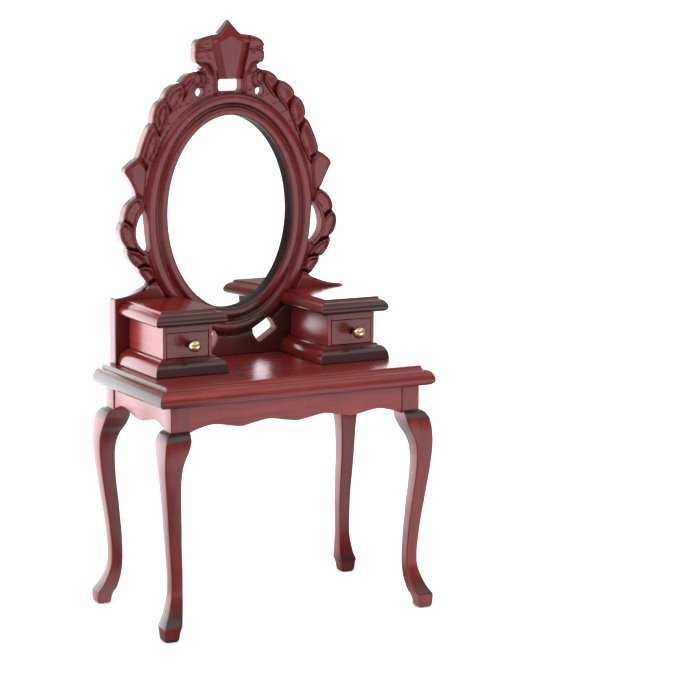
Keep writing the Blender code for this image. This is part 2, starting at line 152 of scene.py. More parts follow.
def round_rect(x0, x1, y0, y1, radius, steps=4):
    return corner_arcs([(x1 - radius, y1 - radius, 0, radius),
                        (x0 + radius, y1 - radius, 90, radius),
                        (x0 + radius, y0 + radius, 180, radius),
                        (x1 - radius, y0 + radius, 270, radius)], steps)


# ============================================================== mesh building


def bridge(bm, first, second):
    """Quads between two rings of vertices; triangles where one is a single point."""
    count = max(len(first), len(second))
    for i in range(count):
        j = (i + 1) % count
        corners = (first[i % len(first)], first[j % len(first)],
                   second[j % len(second)], second[i % len(second)])
        bm.faces.new(list(dict.fromkeys(corners)))


def loft(bm, rings, capped=True):
    loops = [[bm.verts.new(tuple(p)) for p in ring] for ring in rings]
    for first, second in zip(loops, loops[1:]):
        bridge(bm, first, second)
    if capped:
        bm.faces.new(list(reversed(loops[0])))
        bm.faces.new(loops[-1])


def node_box(node):
    """Low and high corners of a CAD piece, in millimetres."""
    low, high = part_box(node)
    return [v * 1000 for v in low], [v * 1000 for v in high]


def add_piece(name, bm, materials, sharp_angle, node, body="carcase",
              flat_above=0.0, weld=1e-5):
    """Turn a bmesh in millimetres into an object that stands in for a CAD node.
    Faces larger than flat_above get a narrow coplanar margin, so that they
    stay flat when shaded."""
    bmesh.ops.remove_doubles(bm, verts=bm.verts, dist=weld)
    if flat_above:
        big = [f for f in bm.faces if f.calc_area() > flat_above]
        if big:
            bmesh.ops.inset_individual(bm, faces=big, thickness=0.025,
                                       use_even_offset=True)
    bmesh.ops.recalc_face_normals(bm, faces=bm.faces)
    if bm.calc_volume(signed=True) < 0:
        bmesh.ops.reverse_faces(bm, faces=bm.faces)
    for vert in bm.verts:
        vert.co = vert.co * MM
    mesh = bpy.data.meshes.new(name)
    bm.to_mesh(mesh)
    bm.free()
    mesh.shade_smooth()
    mesh.set_sharp_from_angle(angle=math.radians(sharp_angle))
    for material in materials:
        mesh.materials.append(material)
    piece = bpy.data.objects.new(name, mesh)
    bpy.context.scene.collection.objects.link(piece)
    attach(piece, body)
    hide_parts(node)


# ================================================================ materials


class Graph:
    """Short way to wire the shader nodes of a material or world."""

    def __init__(self, owner, output="OutputMaterial"):
        owner.use_nodes = True
        self.owner = owner
        self.tree = owner.node_tree
        self.tree.nodes.clear()
        self.output = self.add(output)

    def add(self, kind, inputs=None, **settings):
        """New node; inputs maps a socket name or number to a value or socket."""
        node = self.tree.nodes.new("ShaderNode" + kind)
        for key, value in settings.items():
            setattr(node, key, value)
        for key, value in (inputs or {}).items():
            if isinstance(value, bpy.types.NodeSocket):
                self.tree.links.new(value, node.inputs[key])
            else:
                node.inputs[key].default_value = value
        return node

    def finish(self, shader):
        self.tree.links.new(shader.outputs[0], self.output.inputs["Surface"])
        return self.owner

    def math(self, operation, *operands, clamp=False):
        return self.add("Math", dict(enumerate(operands)), operation=operation,
                        use_clamp=clamp).outputs[0]

    def times(self, value, factor):
        return self.math("MULTIPLY", value, factor)

    def times_plus(self, value, factor, addend):
        return self.math("MULTIPLY_ADD", value, factor, addend)

    def vector(self, operation, *operands):
        node = self.add("VectorMath", dict(enumerate(operands)), operation=operation)
        return node.outputs["Value" if operation == "DOT_PRODUCT" else "Vector"]

    def object_mm(self):
        """Object coordinates in millimetres."""
        place = self.add("TexCoord").outputs["Object"]
        return self.add("VectorMath", {0: place, "Scale": 1000.0},
                        operation="SCALE").outputs[0]

    def ramp(self, fac, stops, mode="LINEAR"):
        """Grey ramp through (position, value) stops."""
        node = self.add("ValToRGB")
        node.color_ramp.interpolation = mode
        elements = node.color_ramp.elements
        while len(elements) < len(stops):
            elements.new(0.5)
        for element, (position, value) in zip(elements, stops):
            element.position = position
            element.color = (value, value, value, 1)
        self.tree.links.new(fac, node.inputs["Fac"])
        return node.outputs["Color"]

    def around(self, turn, tones):
        """Ramp whose values go above 1, up to peak."""
        peak = 5.0
        return self.times(self.ramp(turn, [(p, v / peak) for p, v in tones]), peak)

    def mix(self, fac, first, second, strength=None):
        """Blend two colours; strength scales fac."""
        if strength is not None:
            fac = self.times(fac, strength)
        first, second = (c + (1,) if isinstance(c, tuple) else c
                         for c in (first, second))
        return self.add("Mix", {0: fac, 6: first, 7: second},
                        data_type="RGBA").outputs[2]

    def mix_value(self, fac, first, second):
        return self.add("Mix", {0: fac, 2: first, 3: second},
                        data_type="FLOAT").outputs[0]

    def noise(self, vector, scale, detail, roughness=0.5, distortion=0.0,
              output="Fac"):
        return self.add("TexNoise", {
            "Vector": vector, "Scale": scale, "Detail": detail,
            "Roughness": roughness, "Distortion": distortion}).outputs[output]

    def bump(self, height, strength, distance):
        return self.add("Bump", {"Strength": strength, "Distance": distance,
                                 "Height": height}).outputs[0]

    def turn(self, x, y):
        """Heading as a fraction of a turn: 0 is -X, 0.25 is -Y."""
        return self.times_plus(self.math("ARCTAN2", y, x), 1 / (2 * math.pi), 0.5)


def new_graph(name):
    return Graph(bpy.data.materials.new(name))


def shade(color, *factors):
    """Colour times one factor, or one factor per channel."""
    if len(factors) == 1:
        factors *= 3
    return tuple(min(1.0, c * f) for c, f in zip(color, factors))


# painted shade in tight corners and round the board's low openings; stain in the pores
PAINTED_SHADE_IN_CORNERS = (0.032, 0.006, 0.005)
STAIN_IN_PORES = (0.035, 0.006, 0.005)
PAINTED_SHADE_AT_FOOT = (0.036, 0.013, 0.010)


def lacquered_wood(name, axis, seed, long_grain=(0.225, 0.019, 0.014),
                   end_grain=(0.026, 0.013, 0.010), tone=1.0, roughness=0.20,
                   end_from=0.30, end_to=0.80, coat=1.0, foot_shade=False,
                   figure=1.0):
    """Red mahogany stain under clear lacquer. axis is the way the grain runs;
    faces cut across it take the stain darker, as end grain does. tone is the
    strength of that, and figure the contrast of the grain."""

    def by_axis(along, across):
        return tuple(along if a == axis else across for a in "XYZ")

    wood = new_graph(name)
    place = wood.object_mm()
    shifted = wood.vector("ADD", place, (seed * 13.7, seed * 7.3, seed * 19.1))
    # slight wander, so that the figure isn't ruled
    wander = wood.noise(shifted, scale=0.09, detail=1.0, output="Color")
    wandered = wood.vector("MULTIPLY_ADD", wander, (1.6, 1.6, 1.6), shifted)
    grain = wood.vector("MULTIPLY", wandered, by_axis(0.055, 1.0))
    broad = wood.noise(grain, scale=0.35, detail=3.0, roughness=0.55, distortion=0.4)
    streak = wood.noise(grain, scale=1.7, detail=3.0, roughness=0.6)
    fine = wood.noise(grain, scale=6.5, detail=2.0, roughness=0.6)
    pore_space = wood.vector("MULTIPLY", wandered, by_axis(0.22, 1.0))
    pores = wood.ramp(wood.noise(pore_space, scale=5.5, detail=1.0),
                      [(0.60, 0.0), (0.70, 1.0)])
    mottle = wood.noise(shifted, scale=0.16, detail=3.0, roughness=0.6)

    # grain figure
    bands = wood.times_plus(broad, 0.55, wood.times(streak, 0.45))
    color = wood.mix(wood.ramp(bands, [(0.36, 0.0), (0.62, 1.0)]),
                     shade(long_grain, 0.56, 0.50, 0.56),
                     shade(long_grain, 1.28, 1.35, 1.2))
    color = wood.mix(wood.ramp(fine, [(0.42, 0.0), (0.66, 1.0)]), color,
                     shade(long_grain, 0.55), strength=0.28)
    color = wood.mix(pores, color, STAIN_IN_PORES, strength=0.35)
    # blotchy stain take-up
    color = wood.mix(wood.ramp(mottle, [(0.35, 1.0), (0.62, 0.0)]), color,
                     shade(long_grain, 0.6), strength=0.30)
    color = wood.mix(1.0 - figure, color, shade(long_grain, 0.80))

    # end grain
    geometry = wood.add("NewGeometry")
    normal = geometry.outputs["Normal"]
    cut = wood.math("ABSOLUTE", wood.vector("DOT_PRODUCT", normal, by_axis(1.0, 0.0)))
    uneven = wood.times(wood.math("SUBTRACT", mottle, 0.5), 0.35)
    cut = wood.math("ADD", cut, uneven)
    end = wood.ramp(cut, [(end_from, 0.0), (end_to, 1.0)], "EASE")
    color = wood.mix(wood.math("MULTIPLY", end, tone, clamp=True), color, end_grain)
    if foot_shade:
        # painted shade, near black, round the board's low openings, in the shadowed
        # corner by the boxes; x and z in tenths of a metre
        xyz = wood.add("SeparateXYZ", {"Vector": place})
        low = wood.ramp(wood.times(xyz.outputs[2], 0.01),
                        [(0.735, 1.0), (0.825, 0.0)], "EASE")
        across = wood.ramp(wood.times_plus(xyz.outputs[0], 0.01, 0.5),
                           [(0.44, 0.30), (0.54, 0.85), (0.66, 0.85), (0.78, 0.2)],
                           "EASE")
        color = wood.mix(wood.times(low, across), color, PAINTED_SHADE_AT_FOOT)

    # painted shade darkens tight corners, and a painted highlight lightens the open
    # arrises
    openness = wood.add("AmbientOcclusion", {"Distance": 0.0015},
                        samples=6).outputs["AO"]
    crevice = wood.ramp(openness, [(0.28, 1.0), (0.70, 0.0)])
    color = wood.mix(crevice, color, PAINTED_SHADE_IN_CORNERS, strength=0.72)
    rounded = wood.add("Bevel", {"Radius": 0.00028}, samples=4).outputs[0]
    edge = wood.ramp(wood.vector("DOT_PRODUCT", rounded, normal),
                     [(0.86, 1.0), (0.985, 0.0)])
    open_edge = wood.times(edge, wood.ramp(openness, [(0.70, 0.0), (0.92, 1.0)]))
    # painted highlight: the open arrises are coloured lighter and pinker, broken up by
    # the grain streaks
    painted_arris_highlight = wood.times(open_edge, wood.ramp(streak, [(0.35, 0.15), (0.6, 0.55)]))
    color = wood.mix(painted_arris_highlight, color, shade(long_grain, 1.9, 2.6, 2.6))

    # lacquer: faint ripple, a trace of the grain, dust nibs
    ripple = wood.noise(shifted, scale=0.55, detail=2.0)
    nibs = wood.noise(shifted, scale=7.0, detail=1.0)
    height = wood.times_plus(ripple, 0.45, wood.times(streak, 0.30))
    height = wood.times_plus(nibs, 0.05, height)
    height = wood.times_plus(pores, -0.05, height)
    bump = wood.bump(height, strength=0.55, distance=0.00011)
    coat_bump = wood.bump(ripple, strength=0.22, distance=0.00007)
    rough = wood.times_plus(broad, 0.10, wood.times_plus(crevice, 0.12, roughness))
    return wood.finish(wood.add("BsdfPrincipled", {
        "Base Color": color,
        "IOR": 1.5,
        "Roughness": wood.math("ADD", rough, 0.16),
        "Normal": bump,
        "Specular IOR Level": 0.06,
        "Coat Weight": coat,
        "Coat Roughness": wood.times(rough, 0.62),
        "Coat IOR": 1.52,
        "Coat Normal": coat_bump}))


def brass_material():
    brass = new_graph("turned_brass")
    place = brass.object_mm()
    lathe_space = brass.vector("MULTIPLY", place, (0.15, 9.0, 0.15))
    rings = brass.noise(lathe_space, scale=1.0, detail=2.0, roughness=0.6)
    tarnish = brass.noise(place, scale=0.9, detail=3.0, roughness=0.6)
    color = brass.mix(brass.ramp(tarnish, [(0.40, 0.0), (0.70, 1.0)]),
                      (0.93, 0.76, 0.45), (0.72, 0.54, 0.28))
    openness = brass.add("AmbientOcclusion", {"Distance": 0.0008}, samples=6)
    crevice = brass.ramp(openness.outputs["AO"], [(0.2, 1.0), (0.6, 0.0)])
    color = brass.mix(crevice, color, (0.10, 0.05, 0.02), strength=0.7)
    # painted shade: the back of the knob, towards the drawer, is coloured dark, from y
    # = -7.38 to -7.05 mm
    xyz = brass.add("SeparateXYZ", {"Vector": place})
    depth = brass.times_plus(xyz.outputs[1], 1.0, 8.0)
    color = brass.mix(brass.ramp(depth, [(0.62, 0.0), (0.95, 1.0)]), color,
                      (0.13, 0.060, 0.038))
    dents = brass.noise(place, scale=1.1, detail=1.0)
    bump = brass.bump(brass.times_plus(rings, 0.2, dents),
                      strength=0.35, distance=0.00012)
    return brass.finish(brass.add("BsdfPrincipled", {
        "Base Color": color,
        "Metallic": 1.0,
        "Roughness": brass.times_plus(tarnish, 0.16, 0.12),
        "Normal": bump}))


def mirror_material():
    glass = new_graph("silvered_glass")
    place = glass.object_mm()
    haze = glass.noise(place, scale=0.12, detail=3.0, roughness=0.6)
    wave = glass.noise(place, scale=0.035, detail=1.0)
    bump = glass.bump(wave, strength=0.12, distance=0.0004)
    # the pane doesn't lie quite parallel to the board
    skewed = glass.vector("ADD", bump, (0.046, 0.0, 0.016))
    return glass.finish(glass.add("BsdfPrincipled", {
        "Base Color": (0.975, 1.0, 0.99, 1),
        "Metallic": 1.0,
        "Roughness": glass.times_plus(haze, 0.03, 0.008),
        "Normal": glass.vector("NORMALIZE", skewed)}))


def card_material():
    card = new_graph("backing_board")
    place = card.object_mm()
    fibre = card.noise(place, scale=2.2, detail=4.0, roughness=0.65)
    blots = card.noise(place, scale=0.18, detail=3.0, roughness=0.6)
    fine = card.noise(place, scale=9.0, detail=2.0, roughness=0.6)
    color = card.mix(card.ramp(fibre, [(0.35, 0.0), (0.7, 1.0)]),
                     (0.30, 0.205, 0.125), (0.43, 0.315, 0.205))
    color = card.mix(card.ramp(blots, [(0.4, 1.0), (0.65, 0.0)]), color,
                     (0.22, 0.14, 0.085), strength=0.4)
    bump = card.bump(card.math("ADD", fibre, card.times(fine, 0.4)),
                     strength=0.5, distance=0.00006)
    return card.finish(card.add("BsdfPrincipled", {
        "Base Color": color, "Roughness": 0.82, "Normal": bump}))


WOOD_TOP = lacquered_wood("mahogany_top", "X", seed=1, roughness=0.38)
WOOD_APRON_X = lacquered_wood("mahogany_apron_long", "X", seed=2, roughness=0.26,
                              long_grain=(0.300, 0.024, 0.015))
WOOD_APRON_Y = lacquered_wood("mahogany_apron_end", "Y", seed=3, roughness=0.32,
                              long_grain=(0.300, 0.026, 0.018))
WOOD_LEG = lacquered_wood("mahogany_leg", "Z", seed=4, roughness=0.34,
                          end_from=0.16, end_to=0.62, figure=0.75)
WOOD_FRAME = lacquered_wood("mahogany_carved", "Z", seed=5,
                            long_grain=(0.195, 0.017, 0.014), end_from=0.34,
                            end_to=0.85, foot_shade=True, figure=0.5)
WOOD_REAR = lacquered_wood("mahogany_rear", "Z", seed=13, roughness=0.62,
                           long_grain=(0.175, 0.020, 0.014), coat=0.12)
WOOD_REAR_X = lacquered_wood("mahogany_rear_long", "X", seed=14, roughness=0.62,
                             long_grain=(0.22, 0.022, 0.015), coat=0.12)
SAWN_EDGE = lacquered_wood("sawn_edge", "Z", seed=12, roughness=0.55,
                           long_grain=(0.30, 0.090, 0.085),
                           end_grain=(0.20, 0.075, 0.070), coat=0.25)
SIGHT_EDGE = lacquered_wood("sight_edge_black", "Z", seed=11, roughness=0.45,
                            long_grain=(0.044, 0.017, 0.012),
                            end_grain=(0.016, 0.013, 0.011), coat=0.35)
WOOD_BOX = lacquered_wood("mahogany_box_moulding", "Y", seed=6,
                          end_grain=(0.046, 0.017, 0.014), end_from=0.22,
                          end_to=0.66)
# painted light: the box sides get a lighter copy of the mahogany, standing in for light
# that their recess between the mouldings keeps off
WOOD_WALL_PAINTED_LIGHT = lacquered_wood("mahogany_box_wall", "Y", seed=7, roughness=0.33,
                           long_grain=(0.400, 0.040, 0.028), tone=0.25)
WOOD_RAIL = lacquered_wood("mahogany_rail", "X", seed=8)
WOOD_FRONT = lacquered_wood("mahogany_drawer_front", "X", seed=9, roughness=0.26,
                            long_grain=(0.175, 0.030, 0.024))
WOOD_INNER = lacquered_wood("mahogany_inside", "Y", seed=10, roughness=0.42,
                            long_grain=(0.20, 0.045, 0.022), coat=0.25)
BRASS = brass_material()
SILVER = mirror_material()
CARD = card_material()

# ========================================================== moulded boards

# Columns of each moulding: out from the flat field, down from the top face
TOP_PROFILE = [(-0.10, 0.0), (0.0, 0.03), (0.07, 0.12), (0.13, 0.32),
               (0.24, 0.62), (0.42, 0.92), (0.52, 1.02), (0.70, 1.03),
               (1.05, 1.05), (1.75, 1.30), (2.35, 1.82), (2.78, 2.62),
               (2.96, 3.35), (2.95, 3.85), (2.78, 4.25), (2.52, 4.52),
               (2.30, 4.66), (2.18, 4.80), (1.9, 4.95), (1.0, 5.15),
               (0.05, 5.28)]
LID_PROFILE = [(-0.10, 0.0), (0.0, 0.03), (0.06, 0.10), (0.12, 0.28),
               (0.25, 0.55), (0.42, 0.72), (0.75, 0.82), (1.25, 1.08),
               (1.72, 1.55), (2.05, 2.15), (2.18, 2.68), (2.12, 3.10),
               (1.92, 3.46), (1.55, 3.76), (1.1, 3.95), (0.5, 4.08)]
BASE_PROFILE = [(-0.10, 0.0), (0.02, 0.02), (0.13, 0.10), (0.17, 0.24),
                (0.22, 0.42), (0.36, 0.52), (0.62, 0.56), (1.0, 0.74),
                (1.6, 1.18), (2.1, 1.95), (2.38, 2.85), (2.52, 3.7),
                (2.56, 4.0), (2.50, 4.22)]
TOP_FIELD = (36.15, -19.44)   # half width and front edge of the top's flat field
# Boards of each box: part, profile, field from x to x (mirrored), field front
BOX_BOARDS = [("base", BASE_PROFILE, 15.86, 31.04, -5.09),
              ("lid", LID_PROFILE, 15.63, 31.16, -5.39)]


def plan_ring(x0, x1, front, back, z, front_radius, back_radius):
    """Rounded rectangle in plan, counter-clockwise from the front right."""
    corners = [(x1 - front_radius, front + front_radius, 270, front_radius),
               (x1 - back_radius, back - back_radius, 0, back_radius),
               (x0 + back_radius, back - back_radius, 90, back_radius),
               (x0 + front_radius, front + front_radius, 180, front_radius)]
    return [(x, y, z) for x, y in corner_arcs(corners, 5)]


def add_moulded(name, node, profile, left, right, front, material):
    """Board with a run moulding on the front and both ends."""
    _, (_, back, top) = node_box(node)
    bm = bmesh.new()
    loft(bm, [plan_ring(left - out, right + out, front - out, back, top - down,
                        0.14 + 0.05 * max(out, 0), 0.10)
              for out, down in sweep(profile, 0.10)])
    add_piece(name, bm, [material], 32, node, flat_above=60.0)


def make_top():
    half, front = TOP_FIELD
    add_moulded("top_board", "table_top", TOP_PROFILE, -half, half, front,
                WOOD_TOP)


# ================================================================= legs

# Columns: z, outward shift of the outer faces, outward shift of the inner faces
LEG = [(52.70, 0.0, 0.0), (52.45, 0.62, 0.04), (52.1, 1.15, 0.10),
       (51.0, 1.90, 0.16), (50.0, 2.28, 0.32), (48.0, 2.62, 1.10),
       (46.0, 2.78, 2.15), (44.0, 2.80, 2.80), (42.0, 2.69, 3.09),
       (40.0, 2.53, 3.19), (36.0, 2.14, 3.09), (32.0, 1.70, 2.88),
       (28.0, 1.25, 2.57), (24.0, 0.74, 2.31), (20.0, 0.33, 2.02),
       (16.0, 0.02, 1.86), (13.0, -0.02, 1.84), (11.0, 0.15, 1.91),
       (9.0, 0.63, 2.08), (7.0, 1.33, 2.40), (5.5, 2.01, 2.74),
       (4.5, 2.59, 3.04), (3.85, 2.98, 3.30)]
FOOT = [LEG[-1], (3.65, 3.10, 3.44), (3.1, 3.15, 3.68), (2.2, 3.15, 3.93),
        (1.2, 3.12, 4.06), (0.7, 3.03, 4.12), (0.35, 2.88, 4.22),
        (0.12, 2.66, 4.40), (0.0, 2.40, 4.62)]
FOOT_TOP = FOOT[0][0]
KNEE_TOP = LEG[0][0]
POST_FACE = (35.4, 20.05)   # outer faces of the square post, in x and y
POST_SIZE = 5.0


def leg_stations(top):
    """Rows of z, outer shift, inner shift and corner radius, from the top down."""
    rows = [(top, 0.0, 0.0, 0.14), (top - 0.12, 0.0, 0.0, 0.16),
            (54.5, 0.0, 0.0, 0.16), (52.85, 0.0, 0.0, 0.16)]

    def height(span):
        return abs(span[0])

    for z, outer, inner in sweep(LEG, 0.32, length=height):
        if z < 6.0:
            radius = 0.39 - 0.16 * (6.0 - z) / 2.2
        else:
            radius = 0.17 + 0.22 * min(1.0, max(0.0, (KNEE_TOP - z) / 3.0))
        rows.append((z, outer, inner, max(radius, 0.2)))
    for z, outer, inner in sweep(FOOT, 0.2, length=height)[1:]:
        rows.append((z, outer, inner, 0.26 + 0.50 * (FOOT_TOP - z) / FOOT_TOP))
    return rows


def make_leg(side_x, side_y, end, side, seed):
    node = "leg_%s_%s" % (end, side)
    _, (_, _, top) = node_box(node)
    phase = seed * 0.9
    face_x, face_y = POST_FACE
    rings = []
    for z, outer, inner, radius in leg_stations(top):
        # a slight waver of the hand, none at the post or on the floor
        waver = 0.05 * min(1.0, max(0.0, (52.5 - z) / 8.0)) * min(1.0, z / 4.0)
        shift_x = waver * math.sin(z * 0.31 + phase)
        shift_y = waver * math.sin(z * 0.27 + 2.0 * phase + 1.0)
        section = round_rect(face_x - POST_SIZE + inner + shift_x,
                             face_x + outer + shift_x,
                             face_y - POST_SIZE + inner + shift_y,
                             face_y + outer + shift_y, radius)
        rings.append([(side_x * x, side_y * y, z) for x, y in section])
    bm = bmesh.new()
    loft(bm, rings)
    add_piece("%s_%s_leg" % (end, side), bm, [WOOD_LEG], 30, node)


# =============================================================== aprons

# Lower edge of each apron, from its middle out: distance from the middle, z
FRONT_SCALLOP = [(0.0, 52.65), (3.3, 53.15), (6.3, 53.7), (8.6, 53.8),
                 (12.6, 53.15), (15.7, 52.6), (19.3, 53.15), (22.2, 53.65),
                 (24.6, 53.65), (28.2, 52.8), (30.4, 51.9)]
SIDE_SCALLOP = [(0.0, 52.45), (2.6, 52.7), (5.6, 53.55), (8.6, 54.1),
                (11.2, 54.0), (13.4, 53.3), (15.1, 52.5)]


def make_apron(side, scallop, along_x, material, outward):
    """Board along X or Y; outward is the sign of the way its face looks."""
    node = "apron_" + side
    low, high = node_box(node)
    run, across = (0, 1) if along_x else (1, 0)
    half, top = high[run], high[2]
    right = [tuple(p) for p in sweep(scallop, 0.4) if p[0] < half - 0.12]
    right.append((half, float(np.interp(half, *zip(*scallop)))))
    bottom = [(-u, z) for u, z in reversed(right) if u > 1e-6] + right
    # section through the board: depth, and lift above the scallop (None: the top)
    face, back = low[across], high[across]
    if outward > 0:
        face, back = back, face
    inward = -outward
    section = [(face, None), (face, 0.22), (face + inward * 0.06, 0.10),
               (face + inward * 0.22, 0.0), (back - inward * 0.2, 0.0),
               (back, 0.18), (back, None)]
    bm = bmesh.new()
    rows = []
    for depth, lift in section:
        row = []
        for u, edge in bottom:
            z = top if lift is None else edge + lift
            row.append(bm.verts.new((u, depth, z) if along_x else (depth, u, z)))
        rows.append(row)
    for first, second in zip(rows, rows[1:] + rows[:1]):
        for i in range(len(bottom) - 1):
            bm.faces.new((first[i], first[i + 1], second[i + 1], second[i]))
    bm.faces.new([row[0] for row in rows])
    bm.faces.new([row[-1] for row in reversed(rows)])
    add_piece(side + "_apron", bm, [material], 34, node)


def soft_block(name, node, material, ease, body="carcase"):
    """A plain stick or board at its CAD size, with eased arrises."""
    low, high = node_box(node)
    bm = bmesh.new()
    bmesh.ops.create_cube(bm, size=1.0)
    for vert in bm.verts:
        vert.co = Vector([(low[k] + high[k]) / 2 + vert.co[k] * (high[k] - low[k])
                          for k in range(3)])
    bmesh.ops.bevel(bm, geom=list(bm.edges), offset=ease, segments=3,
                    affect="EDGES", profile=0.5)
    add_piece(name, bm, [material], 40, node, body, flat_above=1.2)


# ================================================================= boxes


def make_box(side, sign):
    for part, profile, near, far, front in BOX_BOARDS:
        left, right = sorted((sign * near, sign * far))
        add_moulded("%s_%s_moulding" % (side, part), "%s_box_%s" % (side, part),
                    profile, left, right, front, WOOD_BOX)
    for part, material in (("side_outer", WOOD_WALL_PAINTED_LIGHT), ("side_inner", WOOD_WALL_PAINTED_LIGHT),
                           ("top_rail", WOOD_RAIL)):
        soft_block("%s_case_%s" % (side, part), "%s_box_%s" % (side, part),
                   material, 0.07)


# ================================================================ drawers

KNOB_X, KNOB_Z = 23.55, 71.96
BALL_RADIUS, BALL_Y = 1.60, -8.98
BALL_STEPS, KNOB_SEGMENTS = 26, 56
NECK_RADIUS = 0.62            # where the neck leaves the ball
COLLAR_Y = -4.75 - 0.03       # back of the knob's collar
PIN_RADIUS, PIN_HOLE_RADIUS = 0.40, 0.45
FRONT_EASE = 0.13             # arris of the drawer front


def make_drawer_front(side, knob_x):
    """Board with eased arrises, drilled for the knob's pin."""
    node = side + "_drawer_front"
    (x0, face, z0), (x1, back, z1) = node_box(node)

    def frame(inset, y):
        return [(x, y, z) for x, z in round_rect(
            x0 + inset, x1 - inset, z0 + inset, z1 - inset, 0.12)]

    outer = frame(FRONT_EASE, face)
    angles = [math.atan2(z - KNOB_Z, x - knob_x) for x, _, z in outer]

    def hole(radius, y):
        return [(knob_x + radius * math.cos(a), y, KNOB_Z + radius * math.sin(a))
                for a in angles]

    bm = bmesh.new()
    loft(bm, [hole(PIN_HOLE_RADIUS, face + 1.3), hole(PIN_HOLE_RADIUS, face),
              hole(PIN_HOLE_RADIUS + 0.03, face), frame(FRONT_EASE + 0.03, face),
              outer, frame(FRONT_EASE * 0.3, face + FRONT_EASE * 0.3),
              frame(0, face + FRONT_EASE), frame(0, face + FRONT_EASE + 0.03),
              frame(0, back - 0.11), frame(0, back - 0.08), frame(0.08, back)])
    add_piece(side + "_front_panel", bm, [WOOD_FRONT], 40, node,
              "drawer_" + side, flat_above=30.0)


def knob_profile():
    """Ball, neck, collar and pin as (y, radius), from the front back."""
    profile = [(BALL_Y - BALL_RADIUS, 0.0)]
    neck_angle = math.asin(NECK_RADIUS / BALL_RADIUS)
    for k in range(1, BALL_STEPS + 1):
        angle = math.pi - (math.pi - neck_angle) * k / BALL_STEPS
        profile.append((BALL_Y + BALL_RADIUS * math.cos(angle),
                        BALL_RADIUS * math.sin(angle)))
    y, radius = profile[-1]
    neck = sweep([(y, radius), (y + 0.25, 0.58), (-6.4, 0.55), (-5.72, 0.58),
                  (COLLAR_Y - 0.42, 0.66)], 0.12)
    collar = sweep([(COLLAR_Y - 0.40, 0.76), (COLLAR_Y - 0.30, 0.92),
                    (COLLAR_Y - 0.16, 0.99), (COLLAR_Y - 0.05, 1.0),
                    (COLLAR_Y, 0.95)], 0.06)
    pin = [(COLLAR_Y, PIN_RADIUS), (COLLAR_Y + 1.15, PIN_RADIUS),
           (COLLAR_Y + 1.23, 0.0)]
    return profile + list(neck[1:]) + list(collar) + pin


def make_knob(side, knob_x):
    rings = []
    for y, radius in knob_profile():
        count = 1 if radius < 1e-6 else KNOB_SEGMENTS
        angles = [2 * math.pi * i / count for i in range(count)]
        rings.append([(knob_x + radius * math.cos(a), y, KNOB_Z + radius * math.sin(a))
                      for a in angles])
    bm = bmesh.new()
    loft(bm, rings, capped=False)
    add_piece(side + "_ball_knob", bm, [BRASS], 45, side + "_drawer_knob",
              "drawer_" + side)


def make_drawer(side, sign):
    make_drawer_front(side, sign * KNOB_X)
    for part in ("side_outer", "side_inner", "back", "bottom"):
        soft_block("%s_tray_%s" % (side, part), "%s_drawer_%s" % (side, part),
                   WOOD_INNER, 0.09, body="drawer_" + side)
    make_knob(side, sign * KNOB_X)


# ============================================== carved board: its design

FRONT = 16.15          # y of the board's front plane
BACK = 20.0            # y of its back
BOARD_X = -0.9         # the whole board sits a little to the left
OVAL_Z = 101.4         # middle of the bead rings
LIP = (18.2, 25.4)     # half axes of the opening, a little above the rings' middle
LIP_Z = 102.0
RING_STEP = (6.4, 6.6)   # growth of the half axes over the width of the rings
RING_WIDTH = 6.0
GLASS_Y = 18.55        # y of the rebate's step
REBATE = (19.3, 26.5)  # half axes of the rebate
OVAL_SEGMENTS = 260
FIELD = 0.82           # depth of the ground between the carvings
EAR = 4                # the pad that is a flat-faced ear

# Right half of the outline, tip to foot, as arcs of (x, z) that meet at corners
SWEEPS = [
    [(0.0, 151.95), (0.28, 151.6), (0.9, 150.85), (1.75, 149.9),
     (2.6, 148.95), (3.2, 148.5), (3.5, 148.38)],
    [(3.5, 148.38), (5.3, 148.15), (7.6, 147.6), (9.2, 146.8),
     (9.95, 145.75), (10.05, 145.15)],
    [(10.05, 145.15), (9.86, 144.85), (10.0, 144.5), (9.88, 144.1),
     (10.05, 143.7), (10.08, 142.8), (9.98, 141.8), (9.55, 140.95)],
    [(9.55, 140.95), (8.6, 140.55), (8.05, 140.1)],
    [(8.05, 140.1), (8.3, 139.45), (9.4, 138.98), (11.2, 138.62),
     (12.8, 137.7), (13.75, 136.75), (14.3, 136.2)],
    [(14.3, 136.2), (15.9, 135.72), (17.5, 134.65), (18.5, 133.4),
     (19.2, 131.95)],
    [(19.2, 131.95), (20.5, 131.1), (21.55, 129.55), (22.1, 127.7),
     (22.15, 125.95)],
    [(22.15, 125.95), (23.2, 124.8), (24.1, 123.0), (25.3, 120.2),
     (26.3, 117.05)],
    [(26.3, 117.05), (27.7, 116.15), (29.1, 115.05), (29.85, 114.25),
     (30.0, 113.6)],
    [(30.0, 113.6), (29.75, 113.1), (28.9, 111.75), (27.7, 109.45),
     (26.75, 107.0)],
    [(26.75, 107.0), (28.3, 105.95), (29.6, 104.5), (30.35, 102.7),
     (30.5, 100.9)],
    [(30.5, 100.9), (31.3, 99.8), (31.6, 98.2), (31.0, 95.9),
     (29.6, 93.85)],
    [(29.6, 93.85), (29.6, 92.6), (28.9, 90.95), (27.7, 89.5), (26.4, 88.5)],
    [(26.4, 88.5), (26.1, 87.4), (25.1, 86.1), (23.45, 84.0)],
    [(23.45, 84.0), (24.8, 83.3), (26.4, 82.6), (28.0, 82.05),
     (29.8, 81.6), (31.5, 81.35), (32.6, 81.2), (33.12, 81.0),
     (33.3, 80.6)],
    [(33.3, 80.6), (33.3, 64.03)],
]
# Crescent opening beside the oval, (x, z), closed
CRESCENT = [(24.5, 103.5), (25.9, 102.0), (26.8, 99.8), (27.1, 97.6),
            (26.6, 95.4), (25.4, 93.7), (24.0, 92.8), (23.0, 93.4),
            (23.4, 97.0), (23.8, 101.2)]
